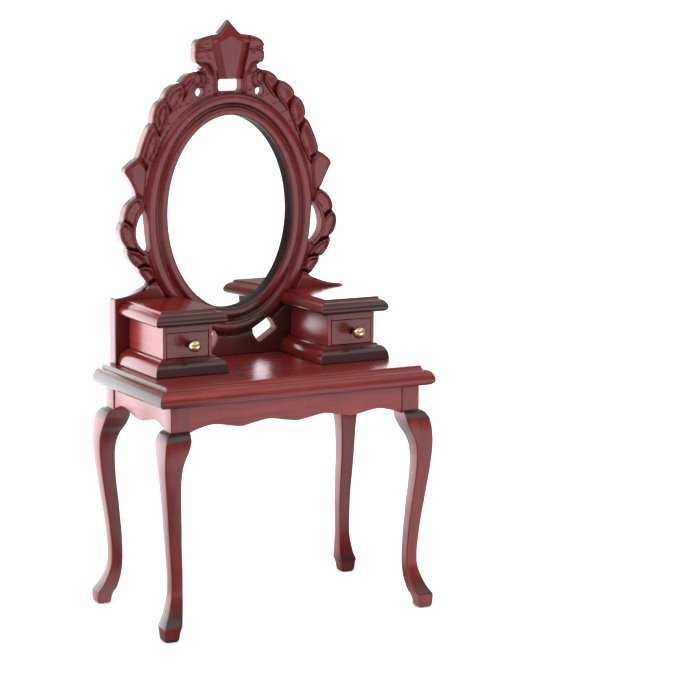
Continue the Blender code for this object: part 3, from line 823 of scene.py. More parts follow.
# Upper edge of each carved pad, (x, z), from the outline inwards; the last
# one closes the lowest pad
RIDGES = [
    [(10.7, 140.2), (10.6, 138.9), (10.1, 137.6), (10.0, 136.0),
     (10.7, 134.4), (12.4, 132.3), (14.0, 130.9)],
    [(15.3, 138.0), (14.3, 136.2), (14.1, 135.5), (13.6, 134.6),
     (13.4, 133.2), (14.2, 131.3), (16.8, 128.3), (18.2, 126.4)],
    [(20.7, 133.2), (19.2, 131.95), (18.4, 131.0), (17.7, 129.4),
     (17.6, 127.8), (18.7, 124.8), (20.1, 121.6), (20.9, 119.6)],
    [(23.8, 127.0), (22.15, 125.95), (21.6, 124.6), (20.7, 122.6),
     (20.4, 120.9), (21.2, 118.6), (22.2, 116.7), (23.2, 114.9)],
    [(27.8, 118.4), (26.3, 117.05), (25.5, 116.25), (24.5, 115.1),
     (24.05, 113.6), (24.2, 110.9), (24.5, 108.4), (24.75, 106.3)],
    [(28.4, 107.5), (26.75, 107.0), (25.8, 106.45), (25.1, 105.6),
     (24.7, 104.5), (24.5, 103.4)],
    [(32.2, 101.1), (30.5, 100.9), (29.6, 100.45), (28.5, 99.6),
     (27.6, 98.5), (27.1, 97.2), (26.9, 96.4)],
    [(31.2, 94.0), (29.6, 93.85), (28.6, 93.4), (27.3, 93.0), (25.8, 92.2),
     (24.4, 91.1), (23.3, 89.6)],
    [(27.6, 87.9), (26.4, 88.5), (25.6, 88.8), (24.5, 88.9), (23.0, 88.6),
     (21.8, 87.9)],
    [(24.6, 82.8), (23.45, 84.0), (22.3, 84.8), (20.8, 85.1)],
]
# Pad below each ridge but the last: centre x, centre z, reach
PADS = [(12.6, 136.0, 4.6), (16.5, 132.7, 4.9), (19.9, 127.9, 5.4),
        (23.4, 120.4, 7.0), (26.9, 112.0, 8.5), (28.0, 103.6, 5.0),
        (29.3, 97.2, 5.2), (27.2, 91.2, 5.2), (24.4, 86.7, 4.2)]
# Lines down the hollows of the pads, (x, z), which the mesh follows
HOLLOWS = [
    [(12.1, 137.9), (11.4, 137.0), (11.2, 136.0), (11.7, 134.8), (12.8, 133.2)],
    [(16.0, 134.9), (15.1, 134.2), (14.8, 133.2), (15.3, 131.9), (16.7, 130.1)],
    [(20.2, 130.4), (19.3, 129.8), (18.9, 128.8), (19.2, 127.0), (20.0, 124.7)],
    [(23.5, 123.7), (22.6, 122.2), (22.2, 120.4), (22.6, 117.9), (23.4, 115.8)],
    [(28.2, 105.2), (27.3, 104.2), (27.4, 102.5), (28.2, 100.9)],
    [(29.3, 99.2), (28.6, 98.2), (28.3, 96.4), (28.4, 94.6)],
    [(28.0, 92.2), (26.6, 91.4), (25.6, 90.5), (25.1, 89.4)],
    [(25.5, 87.9), (24.4, 87.3), (23.3, 86.3)],
]
# Scroll beside the cresting, and the arch over it, (x, z)
SCROLL = [(10.0, 139.2), (8.6, 138.95), (7.3, 138.1), (6.75, 136.8),
          (6.95, 135.5), (7.6, 134.6), (8.5, 134.45)]
ARCH = [(10.3, 141.1), (9.5, 140.75), (8.6, 141.05), (7.6, 141.25),
        (6.5, 140.95), (5.7, 140.2), (5.2, 139.0)]
# Grooves across the cresting blocks: z at the outer end, z at the inner end,
# depth, half width
GROOVES = [(144.86, 145.02, 0.24, 0.20), (143.98, 144.32, 0.34, 0.26)]
KEY_STEP = 0.16        # width of the step up at the keystone's foot line

# Double bead round the opening: distance out from the lip, depth
RING_PROFILE = [(-0.4, 0.9), (0.0, 0.34), (0.12, 0.16), (0.30, 0.05),
                (0.55, 0.01), (0.95, 0.0), (1.50, 0.03), (1.80, 0.15),
                (2.05, 0.42), (2.30, 0.74), (2.47, 0.86), (2.62, 0.89),
                (2.76, 0.80), (2.95, 0.50), (3.18, 0.20), (3.45, 0.06),
                (3.8, 0.01), (4.6, 0.02), (5.0, 0.10), (5.32, 0.32),
                (5.6, 0.62), (5.84, 0.84), (6.0, 0.92), (6.15, 0.91),
                (6.3, 0.86)]


def key_edge(z):
    """Half width of the keystone's flat, and of the line at its foot."""
    flat = np.interp(z, [137.0, 146.6, 149.0], [1.30, 3.25, 3.3])
    foot = np.interp(z, [136.5, 140.1, 144.4, 147.2], [3.45, 4.15, 5.30, 5.6])
    return flat, foot


def cap_line(x):
    """z of the raking line under the keystone's pointed cap."""
    return 148.1 - 0.52 * x


def groove_z(x, z_outer, z_inner):
    return np.interp(x, [5.6, 10.3], [z_inner, z_outer])


# ============================================== carved board: its relief
# Depths are behind the front plane, and x is taken as |x|.


def ring_distance(x, z):
    """Distance outwards from the lip, in units of the bead profile."""
    t = np.zeros(len(x))
    drift = OVAL_Z - LIP_Z
    for _ in range(16):   # Newton steps
        dz = z - LIP_Z - drift * np.clip(t, 0, 1)
        a = np.maximum(LIP[0] + RING_STEP[0] * t, 4.0)
        b = np.maximum(LIP[1] + RING_STEP[1] * t, 4.0)
        error = (x / a) ** 2 + (dz / b) ** 2 - 1
        slope = -2 * x ** 2 * RING_STEP[0] / a ** 3 \
            - 2 * dz ** 2 * RING_STEP[1] / b ** 3 \
            - 2 * dz * drift * (t < 1) / b ** 2
        t = np.clip(t - error / np.minimum(slope, -1e-6), -0.6, 9.0)
    return RING_WIDTH * t


def carve_pads(points, edge, depth):
    """Carve the pads into depth; also says which points lie outside them."""
    x, z = points.T
    ridges = [line_distance(points, sweep(ridge, 0.35)) for ridge in RIDGES]
    owner = np.full(len(points), -1)
    for i, (centre_x, centre_z, reach) in enumerate(PADS):
        near = np.hypot(x - centre_x, z - centre_z) < reach
        owner = np.where((ridges[i][1] > 0) & near, i, owner)
    last = len(PADS) - 1
    owner = np.where((owner == last) & (ridges[-1][1] > 0), -1, owner)
    for i in range(len(PADS)):
        mine = owner == i
        upper, lower, rim = ridges[i][0][mine], ridges[i + 1][0][mine], edge[mine]
        if i == EAR:
            # flat face, bevelled along its inner side and its tip
            tip = np.hypot(x[mine] - 29.9, z[mine] - 113.4)
            pad = 0.10 + 0.55 * fade(upper, 0.75) ** 1.5
            pad += 0.16 * fade(rim, 1.0)
            pad += 0.35 * (1 - smooth(0.3, 2.3, tip))
            pad += 0.6 * fade(lower, 1.4)
        else:
            # a crisp rim along the upper side, a hollow scooped beside it
            # that rises to a full outer edge, and a step at the lower end
            pad = 0.05 + 0.14 * fade(upper, 0.24) + 0.22 * fade(rim, 0.9)
            if i < EAR:
                pad += 0.80 * (smooth(0.30, 0.95, upper) * smooth(0.6, 2.7, rim))
                pad += 0.62 * fade(lower, 1.3) ** 1.2
            else:
                pad += 0.62 * (smooth(0.30, 1.05, upper) * smooth(0.25, 1.1, rim)
                               * (1 - smooth(2.0, 3.2, rim)))
                pad += 0.86 * fade(lower, 1.1) ** 1.3
        depth[mine] = pad
    return depth, owner < 0


def carve_crescent_rim(points, depth):
    """Raised rim down the outer side of the crescent opening."""
    x, z = points.T
    gap, _ = line_distance(points, sweep(CRESCENT, 0.3, closed=True), closed=True)
    rim = (gap < 1.15) & (x > 24.2 + 0.06 * (z - 92.0)) & (z < 103.2) & (z > 92.0)
    return np.where(rim, np.minimum(depth, 0.26 + 0.5 * smooth(0.75, 1.15, gap)),
                    depth)


def carve_scroll(points, ring, free, depth):
    """Small scroll beside the cresting, and the band along the keystone."""
    x, z = points.T
    _, foot = key_edge(z)
    outside = ring > 5.9
    zone = (z > 133.0) & (x < 10.9) & free
    below = zone & (z < 141.6)
    ground = 0.70 + 0.12 * np.sin((z - 134) * 0.9)
    depth = np.where(below & (ring > RING_WIDTH), np.maximum(depth, ground), depth)
    from_eye = np.hypot((x - 9.0) / 1.55, (z - 136.8) / 2.2)
    hollow = 1.45 * (1 - smooth(0.45, 1.2, from_eye))
    depth = np.where(below & outside, np.maximum(depth, hollow), depth)
    gap, _ = line_distance(points, sweep(SCROLL, 0.25))
    depth = np.where(zone & (gap < 0.5) & outside,
                     np.minimum(depth, 0.10 + 1.1 * (gap / 0.5) ** 2.2), depth)
    band = np.abs(x - (foot + 0.62))
    return np.where(below & (band < 0.75) & (z < 140.6) & outside,
                    np.minimum(depth, 0.20 + 0.75 * (band / 0.75) ** 2), depth)


def carve_blocks(points, edge, free, depth):
    """Grooved blocks on each side of the keystone, and the shadow of their arch."""
    x, z = points.T
    _, foot = key_edge(z)
    gap, side = line_distance(points, sweep(ARCH, 0.25))
    over_arch = (side < 0) & (z > 138.8) & free
    block = 0.12 + 0.38 * fade(edge, 0.85) ** 1.5 + 0.22 * fade(gap, 0.5) \
        + 0.10 * smooth(6.0, 10.0, x)
    for z_outer, z_inner, groove, half_width in GROOVES:
        off = np.abs(z - groove_z(x, z_outer, z_inner))
        block = block + groove * np.clip(1 - off / half_width, 0, 1) ** 0.8
    depth = np.where(over_arch & (x > foot) & (z > 139.0) & (x < 10.6), block, depth)
    under = (~over_arch) & (gap < 1.3) & free & (x < 9.6) & (z > 137.5) \
        & (x > foot + 1.1)
    return np.where(under, np.maximum(depth, 1.15 - 0.35 * gap / 1.3), depth)


def carve_keystone(points, edge, ring, depth):
    x, z = points.T
    flat, foot = key_edge(z)
    step = foot - KEY_STEP
    slope = np.clip((x - flat) / np.maximum(step - flat, 0.1), 0, 1)
    back_up = smooth(0.0, KEY_STEP, x - step)
    key = 0.98 * slope ** 0.92 * (1 - back_up) + 0.14 * back_up
    # pointed cap: two facets that fall away from a raking line
    over = np.maximum(0.0, z - cap_line(x))
    key = np.where(z > cap_line(x),
                   np.maximum(key * fade(over, 1.2), 0.0) + 0.30 * over ** 0.95, key)
    key += 0.20 * fade(edge, 0.45) * (z > 146.5)
    return np.where((x < foot) & (z > 136.3) & (ring > 5.9), key, depth)


def relief(points, edge, is_hole):
    """Depth of the carved surface at (|x|, z), and the ring distance. edge is
    the distance to the nearest outline or opening; is_hole says which."""
    x, z = points.T
    ring = ring_distance(x, z)
    upper = smooth(83.5, 88.5, z)
    depth, free = carve_pads(points, edge, FIELD * upper)
    depth = carve_crescent_rim(points, depth)
    depth = carve_scroll(points, ring, free, depth)
    depth = carve_blocks(points, edge, free, depth)
    depth = carve_keystone(points, edge, ring, depth)
    # double bead round the opening, with a quirk where it meets the carving
    profile = sweep(RING_PROFILE, 0.05)
    bead = np.interp(ring, profile[:, 0], profile[:, 1])
    blend = smooth(5.98, 6.34, ring)
    depth = np.where(ring < 5.98, bead,
                     np.maximum(depth, 0) * blend + 1.06 * (1 - blend))
    # eased arrises
    radius = np.where(is_hole, 0.20, 0.26 + 0.12 * upper)
    k = np.clip(1 - edge / radius, 0, 1)
    return depth + radius * (1 - np.sqrt(np.maximum(0, 1 - k * k))), ring


# ============================================== carved board: its mesh
# loops is always the outline, then the openings.

LATTICE = 0.25            # spacing of the surface points
LATTICE_ROW = 0.866       # row pitch as a part of the spacing
LATTICE_LOW_Z = 63.5
COARSE_BELOW = 79.5       # plain lower part, meshed three times as coarsely
FEATURE_STEP = 0.16
BACK_EASE = 0.16          # arris at the back
PANE_SEGMENTS = 160


def mirrored(loop):
    return loop[::-1] * [-1, 1]


def ellipse(half_width, half_height, count=OVAL_SEGMENTS, centre_x=0.0):
    """(x, z) loop about the middle of the opening."""
    angle = np.arange(count) / count * 2 * math.pi
    return np.stack([centre_x + half_width * np.sin(angle),
                     LIP_Z + half_height * np.cos(angle)], 1)


def at_depth(loop, y):
    """An (x, z) loop as 3-D points at y, one value or one for each point."""
    return np.column_stack([loop[:, 0], np.broadcast_to(y, len(loop)), loop[:, 1]])


def offset_line(line, distance, closed):
    """Points beside a line, on its left where distance is positive."""
    if closed:
        along = np.roll(line, -1, 0) - np.roll(line, 1, 0)
    else:
        along = np.gradient(line, axis=0)
    along /= np.maximum(np.linalg.norm(along, axis=1, keepdims=True), 1e-9)
    return line + np.stack([-along[:, 1], along[:, 0]], 1) * distance


def into_wood(loop, distance, is_outline):
    """Points beside a loop at a given distance, on the solid side."""
    x, y = loop[:, 0], loop[:, 1]
    counter_clockwise = np.sum(x * np.roll(y, -1) - np.roll(x, -1) * y) > 0
    sign = 1.0 if counter_clockwise == is_outline else -1.0
    return offset_line(loop, distance * sign, closed=True)


def tilted_slot(centre_x, centre_z, width, height, radius, tilt=0.0):
    """Rounded rectangle in (x, z), turned by tilt degrees, in short steps."""
    loop = round_rect(-width / 2, width / 2, -height / 2, height / 2, radius, 6)
    cos, sin = math.cos(math.radians(tilt)), math.sin(math.radians(tilt))
    loop = [np.array((centre_x + x * cos - z * sin, centre_z + x * sin + z * cos))
            for x, z in loop]
    dense = []
    for start, end in zip(loop, loop[1:] + loop[:1]):
        pieces = max(1, int(round(np.linalg.norm(end - start) / 0.28)))
        dense += [start + (end - start) * k / pieces for k in range(pieces)]
    return np.array(dense)


def board_outline():
    right = []
    for points in SWEEPS:
        curve = sweep_or_line(points, 0.26)
        right += list(curve[1:] if right else curve)
    right = np.array(right)
    return np.vstack([right, right[:0:-1] * [-1, 1]])


def sweep_or_line(points, step):
    """A sweep, or evenly spaced points where there are only two."""
    if len(points) > 2:
        return sweep(points, step)
    start, end = (np.array(p, float) for p in points)
    pieces = max(1, int(round(np.linalg.norm(end - start) / step)))
    return np.array([start + (end - start) * k / pieces for k in range(pieces + 1)])


def board_holes():
    """Two crescents, a slot under the cresting, two round holes, two low slots."""
    crescent = sweep(CRESCENT, 0.28, closed=True)
    peep = np.array([(8.6 + 1.2 * math.cos(2 * math.pi * i / 28),
                      133.4 + 1.2 * math.sin(2 * math.pi * i / 28))
                     for i in range(28)])
    return [crescent, mirrored(crescent),
            tilted_slot(0, (133.6 + 136.75) / 2, 6.5, 3.15, 0.7),
            peep, mirrored(peep),
            tilted_slot(9.8, 70.2, 6.6, 3.9, 0.9, tilt=33.0),
            tilted_slot(-7.6, 69.25, 7.0, 4.8, 1.4, tilt=-20.0)]


def feature_lines():
    """Crisp lines of the right half's carving, which the mesh follows."""
    lines = [sweep(ridge[1:], FEATURE_STEP) for ridge in RIDGES]
    lines += [sweep(line, FEATURE_STEP) for line in HOLLOWS + [ARCH]]
    z = np.arange(136.6, 147.3, FEATURE_STEP)
    flat, foot = key_edge(z)
    lines += [np.stack([x, z], 1) for x in (foot, foot - KEY_STEP, flat)]
    x = np.arange(0.0, 3.6, FEATURE_STEP)
    lines.append(np.stack([x, cap_line(x)], 1))
    x = np.arange(5.6, 9.8, 0.2)
    lines += [np.stack([x, groove_z(x, z_outer, z_inner)], 1)
              for z_outer, z_inner, _, _ in GROOVES]
    return lines


def lattice():
    """Triangular lattice over the board, thinned on its plain lower part."""
    xs = np.arange(-34, 34, LATTICE)
    zs = np.arange(LATTICE_LOW_Z, 152.5, LATTICE * LATTICE_ROW)
    x, z = np.meshgrid(xs, zs)
    x = x + (np.arange(len(zs)) % 2)[:, None] * LATTICE / 2
    x, z = x.ravel(), z.ravel()
    column = np.round(x / LATTICE).astype(int)
    row = np.round((z - LATTICE_LOW_Z) / (LATTICE * LATTICE_ROW)).astype(int)
    near_rings = np.hypot(x / (LIP[0] + 7.5), (z - OVAL_Z) / (LIP[1] + 7.2)) < 1.0
    keep = (z >= COARSE_BELOW) | ((column % 3 == 0) & (row % 3 == 0)) | near_rings
    return np.stack([x, z], 1)[keep]


def outline_distance(points, outline):
    """Distance to the outline, piece by piece for speed; 9 where far off."""
    nearest = np.full(len(points), 9.0)
    ring = np.vstack([outline, outline[:1]])
    for start in range(0, len(outline), 24):
        part = ring[start:start + 25]
        near = within(points, part, 2.2)
        if near.any():
            distance, _ = line_distance(points[near], part)
            nearest[near] = np.minimum(nearest[near], distance)
    return nearest


def edge_distance(points, loops):
    """Distance to the nearest edge but the lip's, and whether it is a hole's.
    The lip, last of the loops, has its own profile."""
    nearest = np.full(len(points), 9.0)
    is_hole = np.zeros(len(points), bool)
    for k, loop in enumerate(loops[:-1]):
        index = np.where(within(points, loop, 2.2))[0]
        if k == 0:
            distance = outline_distance(points[index], loop)
        else:
            distance, _ = line_distance(points[index], loop, closed=True)
        better = distance < nearest[index]
        nearest[index] = np.where(better, distance, nearest[index])
        is_hole[index] = np.where(better, k > 0, is_hole[index])
    return nearest, is_hole


def on_solid(points, loops):
    solid = inside(points, loops[0])
    for loop in loops[1:]:
        near = within(points, loop)
        solid[near] &= ~inside(points[near], loop)
    return solid


def surface_points(loops):
    """Points of the carved face between its edges."""
    grid = lattice()
    lines = feature_lines()
    # keep lattice points clear of the feature lines
    clearance = np.full(len(grid), 9.0)
    for line in lines + [line * [-1, 1] for line in lines]:
        near = within(grid, line, 0.3)
        if near.any():
            distance, _ = line_distance(grid[near], line)
            clearance[near] = np.minimum(clearance[near], distance)
    groups = [grid[clearance > 0.15]]
    for k, loop in enumerate(loops):
        groups += [into_wood(loop, distance, k == 0) for distance in (0.05, 0.12, 0.20)]
    for line in lines:
        for offset in (-0.055, 0.055):
            beside = offset_line(line, offset, closed=False)
            groups += [beside, beside * [-1, 1]]
    points = np.vstack(groups)
    points = points[on_solid(points, loops)]
    edge, _ = edge_distance(points, loops)
    lip, _ = line_distance(points, loops[-1], closed=True)
    points = points[(edge > 0.035) & (lip > 0.035)]
    # thin out near-duplicates
    cells = np.round(points / 0.045).astype(int)
    _, first = np.unique(cells, axis=0, return_index=True)
    return points[np.sort(first)]


def triangulate(loops, inner=()):
    """Triangles over the solid part of the loops: points, triangles and, for
    each point, the numbers of the points given that became it."""
    points, edges = [], []
    for loop in loops:
        start = len(points)
        points += [Vector(tuple(p)) for p in loop]
        index = list(range(start, len(points)))
        edges += list(zip(index, index[1:] + index[:1]))
    points += [Vector(tuple(p)) for p in inner]
    result = delaunay_2d_cdt(points, edges, [], 0, 1e-7)
    coords = np.array([tuple(v) for v in result[0]])
    triangles = np.array([f for f in result[2]])
    solid = on_solid(coords[triangles].mean(1), loops)
    return coords, triangles[solid], result[3]


def carved_depth(coords, loops):
    """Relief of the face, a little different by hand on the left and right."""
    edge, is_hole = edge_distance(coords, loops)
    half = coords.copy()
    half[:, 0] = np.abs(half[:, 0])
    depth, ring = relief(half, edge, is_hole)
    x, z = coords.T
    hand = 0.045 * wobble(x + 40, 0, z, seed=3, size=5.2) \
        + 0.018 * wobble(x + 11, 0, z, seed=5, size=1.7)
    # none on the plain foot, the edges, the cresting's middle or the ear
    amount = smooth(82.0, 88.0, z) * smooth(0.0, 0.5, edge)
    amount *= smooth(5.4, 6.6, half[:, 0] + 40 * (z < 136.0))
    amount *= smooth(2.6, 5.2, np.hypot(half[:, 0] - 27.0, z - 112.5))
    return np.maximum(depth + hand * amount * (0.35 + 0.65 * smooth(6.0, 6.6, ring)),
                      0.0)


def add_face(bm, loops):
    """Build the carved face and return the vertices along each loop."""
    coords, triangles, sources = triangulate(loops, surface_points(loops))
    # a hair of no width along a straight run of the outline isn't wood
    first = coords[triangles[:, 1]] - coords[triangles[:, 0]]
    second = coords[triangles[:, 2]] - coords[triangles[:, 0]]
    cross = first[:, 0] * second[:, 1] - first[:, 1] * second[:, 0]
    triangles = triangles[np.abs(cross) > 1e-6]
    depth = carved_depth(coords, loops)
    verts = {i: bm.verts.new((coords[i, 0], FRONT + depth[i], coords[i, 1]))
             for i in np.unique(triangles)}
    for a, b, c in triangles:
        bm.faces.new((verts[a], verts[b], verts[c]))
    new_index = {old: new for new, olds in enumerate(sources) for old in olds}
    edge_verts, start = [], 0
    for loop in loops:
        edge_verts.append([verts[new_index[i]]
                           for i in range(start, start + len(loop))])
        start += len(loop)
    return edge_verts


def wall_rings(loop, front_y, is_outline, rough):
    """Rings from the front edge to the back; rough walls are left uneven."""
    levels = (0.12, 0.3, 0.5, 0.7, 0.88) if rough else (0.25, 0.6, 0.9)
    rings = []
    for i, level in enumerate(levels):
        y = front_y + (BACK - BACK_EASE - front_y) * level
        base = loop
        if rough:
            noise = wobble(loop[:, 0], y, loop[:, 1], seed=7 + i, size=1.1)
            normal = into_wood(loop, 1.0, is_outline) - loop
            base = loop + normal * (0.10 * math.sin(math.pi * level) * noise)[:, None]
        rings.append(at_depth(base, y))
    return rings + [at_depth(loop, BACK - BACK_EASE),
                    at_depth(into_wood(loop, 0.05, is_outline), BACK - 0.05),
                    at_depth(into_wood(loop, 0.15, is_outline), BACK)]


def sight_rings():
    """Sight edge of the oval opening, then the rebate for the glass."""
    rings = [(LIP, -0.01, FRONT + 0.50), (LIP, 0.0, FRONT + 0.75),
             (LIP, 0.0, GLASS_Y - 0.06), (LIP, 0.06, GLASS_Y),
             (REBATE, 0.0, GLASS_Y), (REBATE, 0.0, BACK - 0.10),
             (REBATE, 0.10, BACK)]
    return [at_depth(ellipse(half_width + grow, half_height + grow), y)
            for (half_width, half_height), grow, y in rings]


def add_wall(bm, edge_verts, rings):
    """Bands of quads from the front edge through further rings."""
    previous = edge_verts
    for ring in rings:
        current = [bm.verts.new(tuple(p)) for p in ring]
        bridge(bm, previous, current)
        previous = current
    return previous


def add_flat_back(bm, back_rings):
    loops = [np.array([(v.co.x, v.co.z) for v in ring]) for ring in back_rings]
    _, triangles, sources = triangulate(loops)
    flat = [v for ring in back_rings for v in ring]
    verts = {new: flat[olds[0]] for new, olds in enumerate(sources) if olds}
    for a, b, c in triangles:
        bm.faces.new((verts[a], verts[c], verts[b]))


def assign_materials(bm, holes):
    """Slot 1 on the sight edge, 2 inside the holes, 3 on the back."""
    for face in bm.faces:
        centre = face.calc_center_median()
        k = math.hypot((centre.x - BOARD_X) / LIP[0], (centre.z - LIP_Z) / LIP[1])
        if abs(k - 1) < 0.012 and FRONT + 0.45 < centre.y < GLASS_Y + 0.02:
            face.material_index = 1
    bm.normal_update()
    walls = [f for f in bm.faces if abs(f.normal.y) < 0.3]
    centres = [f.calc_center_median() for f in walls]
    middles = np.array([(c.x - BOARD_X, c.z) for c in centres])
    for hole in holes:
        near = line_distance(middles, hole, closed=True)[0] < 0.06
        for face, hit in zip(walls, near):
            if hit:
                face.material_index = 2
    rear = max(v.co.y for v in bm.verts) - 0.05
    for face in bm.faces:
        if all(v.co.y > rear for v in face.verts):
            face.material_index = 3


def make_board():
    holes = board_holes()
    loops = [board_outline()] + holes + [ellipse(*LIP)]
    bm = bmesh.new()
    edge_verts = add_face(bm, loops)
    back_rings = []
    for k, (loop, verts) in enumerate(zip(loops[:-1], edge_verts)):
        front_y = np.array([v.co.y for v in verts])
        # the crescents, loops 1 and 2, have rough walls
        rings = wall_rings(loop, front_y, is_outline=k == 0, rough=k in (1, 2))
        back_rings.append(add_wall(bm, verts, rings))
    back_rings.append(add_wall(bm, edge_verts[-1], sight_rings()))
    add_flat_back(bm, back_rings)
    bmesh.ops.translate(bm, verts=bm.verts, vec=(BOARD_X, 0, 0))
    assign_materials(bm, holes)
    add_piece("carved_board", bm, [WOOD_FRAME, SIGHT_EDGE, SAWN_EDGE, WOOD_REAR],
              42, "mirror_frame", weld=1e-4)


def make_pane(name, node, material, ease):
    """Oval sheet at its CAD size, with eased edges."""
    (x0, y0, z0), (x1, y1, z1) = node_box(node)
    rings = [(ease, y0), (ease * 0.3, y0 + ease * 0.3), (0, y0 + ease),
             (0, y1 - ease), (ease * 0.3, y1 - ease * 0.3), (ease, y1)]
    bm = bmesh.new()
    loft(bm, [at_depth(ellipse((x1 - x0) / 2 - inset, (z1 - z0) / 2 - inset,
                               PANE_SEGMENTS, (x1 + x0) / 2), y)
              for inset, y in rings])
    add_piece(name, bm, [material], 30, node, flat_above=60.0)


# ================================================================== stage
# Metres from here on.

# Brightness round the table: 0 is -X, .25 is -Y (the front), .5 is +X,
# .75 is +Y (behind). The room above the floor's far edge is dark in front.
FLOOR_TONES = [(0.00, 1.8), (0.06, 0.8), (0.14, 0.50), (0.24, 0.80),
               (0.29, 1.72), (0.38, 1.72), (0.45, 0.40), (0.53, 0.16),
               (0.60, 0.80), (0.65, 2.6), (0.76, 3.0), (0.81, 4.3),
               (0.87, 4.2), (1.0, 2.0)]
SKY_TONES = [(0.00, 1.0), (0.06, 0.45), (0.14, 0.25), (0.24, 0.22),
             (0.30, 0.26), (0.38, 0.26), (0.45, 0.20), (0.53, 0.16),
             (0.60, 0.90), (0.64, 3.9), (0.70, 4.6), (0.76, 3.8),
             (0.81, 3.9), (0.87, 3.8), (1.0, 1.0)]
# Brightness of the ring of softboxes, by the z of the direction
SOFTBOX_TONES = [(0.30, 0.16), (0.50, 0.20), (0.60, 0.95), (0.78, 1.0), (0.86, 0.35)]


def floor_material():
    """Pale to the camera, with contact shadows; its own tones to other rays."""
    floor = new_graph("pale_floor")
    is_camera = floor.add("LightPath").outputs["Is Camera Ray"]
    diffuse = floor.add("BsdfDiffuse", {"Color": (0.86, 0.86, 0.86, 1)})
    position = floor.add("NewGeometry").outputs["Position"]
    x, y, _ = floor.add("SeparateXYZ", {"Vector": position}).outputs
    reach = floor.math("SQRT", floor.times_plus(x, x, floor.times(y, y)))
    glow = floor.add("Emission", {
        "Color": (1, 1, 1.0, 1),
        "Strength": floor.ramp(reach, [(0.05, 0.40), (0.7, 0.92)])})
    seen = floor.add("AddShader", {0: diffuse.outputs[0], 1: glow.outputs[0]})
    turn = floor.turn(x, y)
    tone = floor.around(turn, FLOOR_TONES)
    # darker close in, much less so on the front right
    close = floor.math("SUBTRACT", 1.0, floor.ramp(reach, [(0.03, 0.42), (0.30, 1.0)]))
    weight = floor.ramp(turn, [(0.16, 1.0), (0.26, 0.25), (0.44, 0.25), (0.58, 1.0)])
    kept = floor.math("SUBTRACT", 1.0, floor.times(close, weight))
    reflected = floor.add("Emission", {"Color": (1, 0.960, 1.0, 1),
                                       "Strength": floor.times(tone, kept)})
    return floor.finish(floor.add("MixShader", {
        "Fac": is_camera, 1: reflected.outputs[0], 2: seen.outputs[0]}))


def make_floor():
    bm = bmesh.new()
    bmesh.ops.create_grid(bm, x_segments=4, y_segments=4, size=9.0)
    mesh = bpy.data.meshes.new("floor")
    bm.to_mesh(mesh)
    bm.free()
    floor = bpy.data.objects.new("floor", mesh)
    bpy.context.scene.collection.objects.link(floor)
    mesh.materials.append(floor_material())


def make_world():
    """White to the camera; a dim room with a ring of softboxes to other rays."""
    world = bpy.data.worlds.new("studio")
    bpy.context.scene.world = world
    sky = Graph(world, "OutputWorld")
    direction = sky.add("TexCoord").outputs["Generated"]
    x, y, z = sky.add("SeparateXYZ", {"Vector": direction}).outputs
    low = sky.around(sky.turn(x, y), SKY_TONES)
    high = sky.times(sky.ramp(z, SOFTBOX_TONES), 1.35)
    height = sky.ramp(z, [(0.26, 0.0), (0.48, 1.0)], "EASE")
    room = sky.mix_value(height, low, high)
    is_camera = sky.add("LightPath").outputs["Is Camera Ray"]
    strength = sky.mix_value(is_camera, room, 1.0)
    tint = sky.mix(is_camera, (1, 0.972, 0.992), (1, 1, 1))
    sky.finish(sky.add("Background", {"Color": tint, "Strength": strength}))


def area_light(name, location, target, size, power, color):
    light = bpy.data.lights.new(name, "AREA")
    light.shape = "RECTANGLE"
    light.size = light.size_y = size
    light.energy = power
    light.color = color
    light.spread = math.radians(180)
    lamp = bpy.data.objects.new(name, light)
    bpy.context.scene.collection.objects.link(lamp)
    lamp.location = location
    aim = Vector(target) - Vector(location)
    lamp.rotation_euler = aim.to_track_quat("-Z", "Y").to_euler()
    return lamp


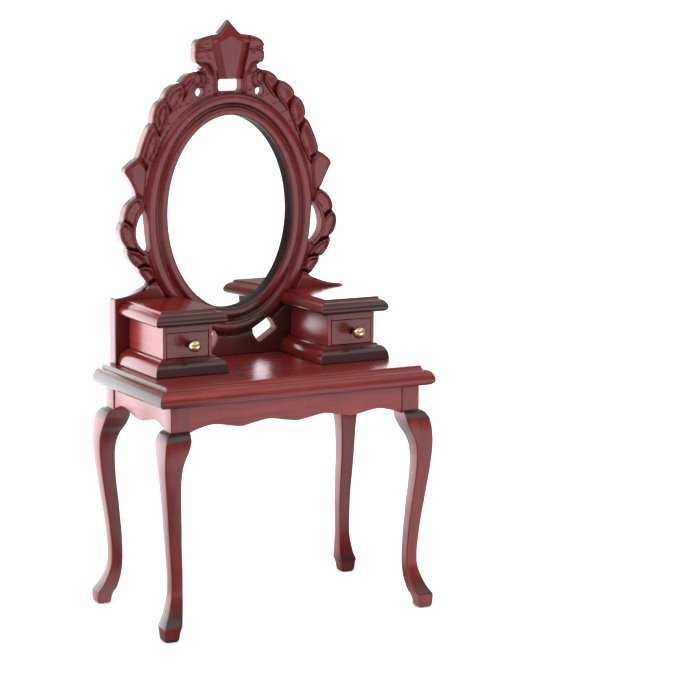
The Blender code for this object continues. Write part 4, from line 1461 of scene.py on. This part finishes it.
def make_lights():
    area_light("window", location=(-0.80, 0.20, 0.55), target=(0, 0, 0.07),
               size=0.60, power=2.4, color=(1, 0.99, 0.985))
    overhead = area_light("overhead", location=(0.05, -0.65, 0.85),
                          target=(0, 0, 0.05), size=0.9, power=4.8,
                          color=(1, 0.985, 0.97))
    overhead.visible_glossy = False


def make_camera():
    """Camera at the front left, a little above its target."""
    target = Vector((0.000005, -0.047122, 0.074965))
    distance = 0.63878
    heading, elevation, roll = (math.radians(v) for v in (-28.78, 9.636, 0.378))
    data = bpy.data.cameras.new("camera")
    camera = bpy.data.objects.new("camera", data)
    bpy.context.scene.collection.objects.link(camera)
    data.lens, data.sensor_width = 135.285, 36.0
    data.clip_start, data.clip_end = 0.02, 50.0
    back = Vector((math.sin(heading) * math.cos(elevation),
                   -math.cos(heading) * math.cos(elevation), math.sin(elevation)))
    right = (-back).cross(Vector((0, 0, 1))).normalized()
    up = right.cross(-back)
    axis_x = math.cos(roll) * right + math.sin(roll) * up
    axis_y = -math.sin(roll) * right + math.cos(roll) * up
    pose = Matrix.Identity(4)
    for i in range(3):
        pose[i][0], pose[i][1], pose[i][2] = axis_x[i], axis_y[i], back[i]
    pose.translation = target + back * distance
    camera.matrix_world = pose
    bpy.context.scene.camera = camera


# ================================================================== build

make_top()
make_leg(-1, -1, "front", "left", seed=1)
make_leg(1, -1, "front", "right", seed=2)
make_leg(-1, 1, "back", "left", seed=3)
make_leg(1, 1, "back", "right", seed=4)
make_apron("front", FRONT_SCALLOP, True, WOOD_APRON_X, outward=-1)
make_apron("left", SIDE_SCALLOP, False, WOOD_APRON_Y, outward=-1)
make_apron("right", SIDE_SCALLOP, False, WOOD_APRON_Y, outward=1)
soft_block("rear_apron", "apron_back", WOOD_REAR_X, 0.12)
for box_side, box_sign in (("left", -1), ("right", 1)):
    make_box(box_side, box_sign)
    make_drawer(box_side, box_sign)
make_board()
make_pane("looking_glass", "mirror_glass", SILVER, ease=0.08)
make_pane("glass_backing", "mirror_backing", CARD, ease=0.06)
make_floor()
make_world()
make_lights()
make_camera()
bpy.context.scene.view_settings.view_transform = "Standard"
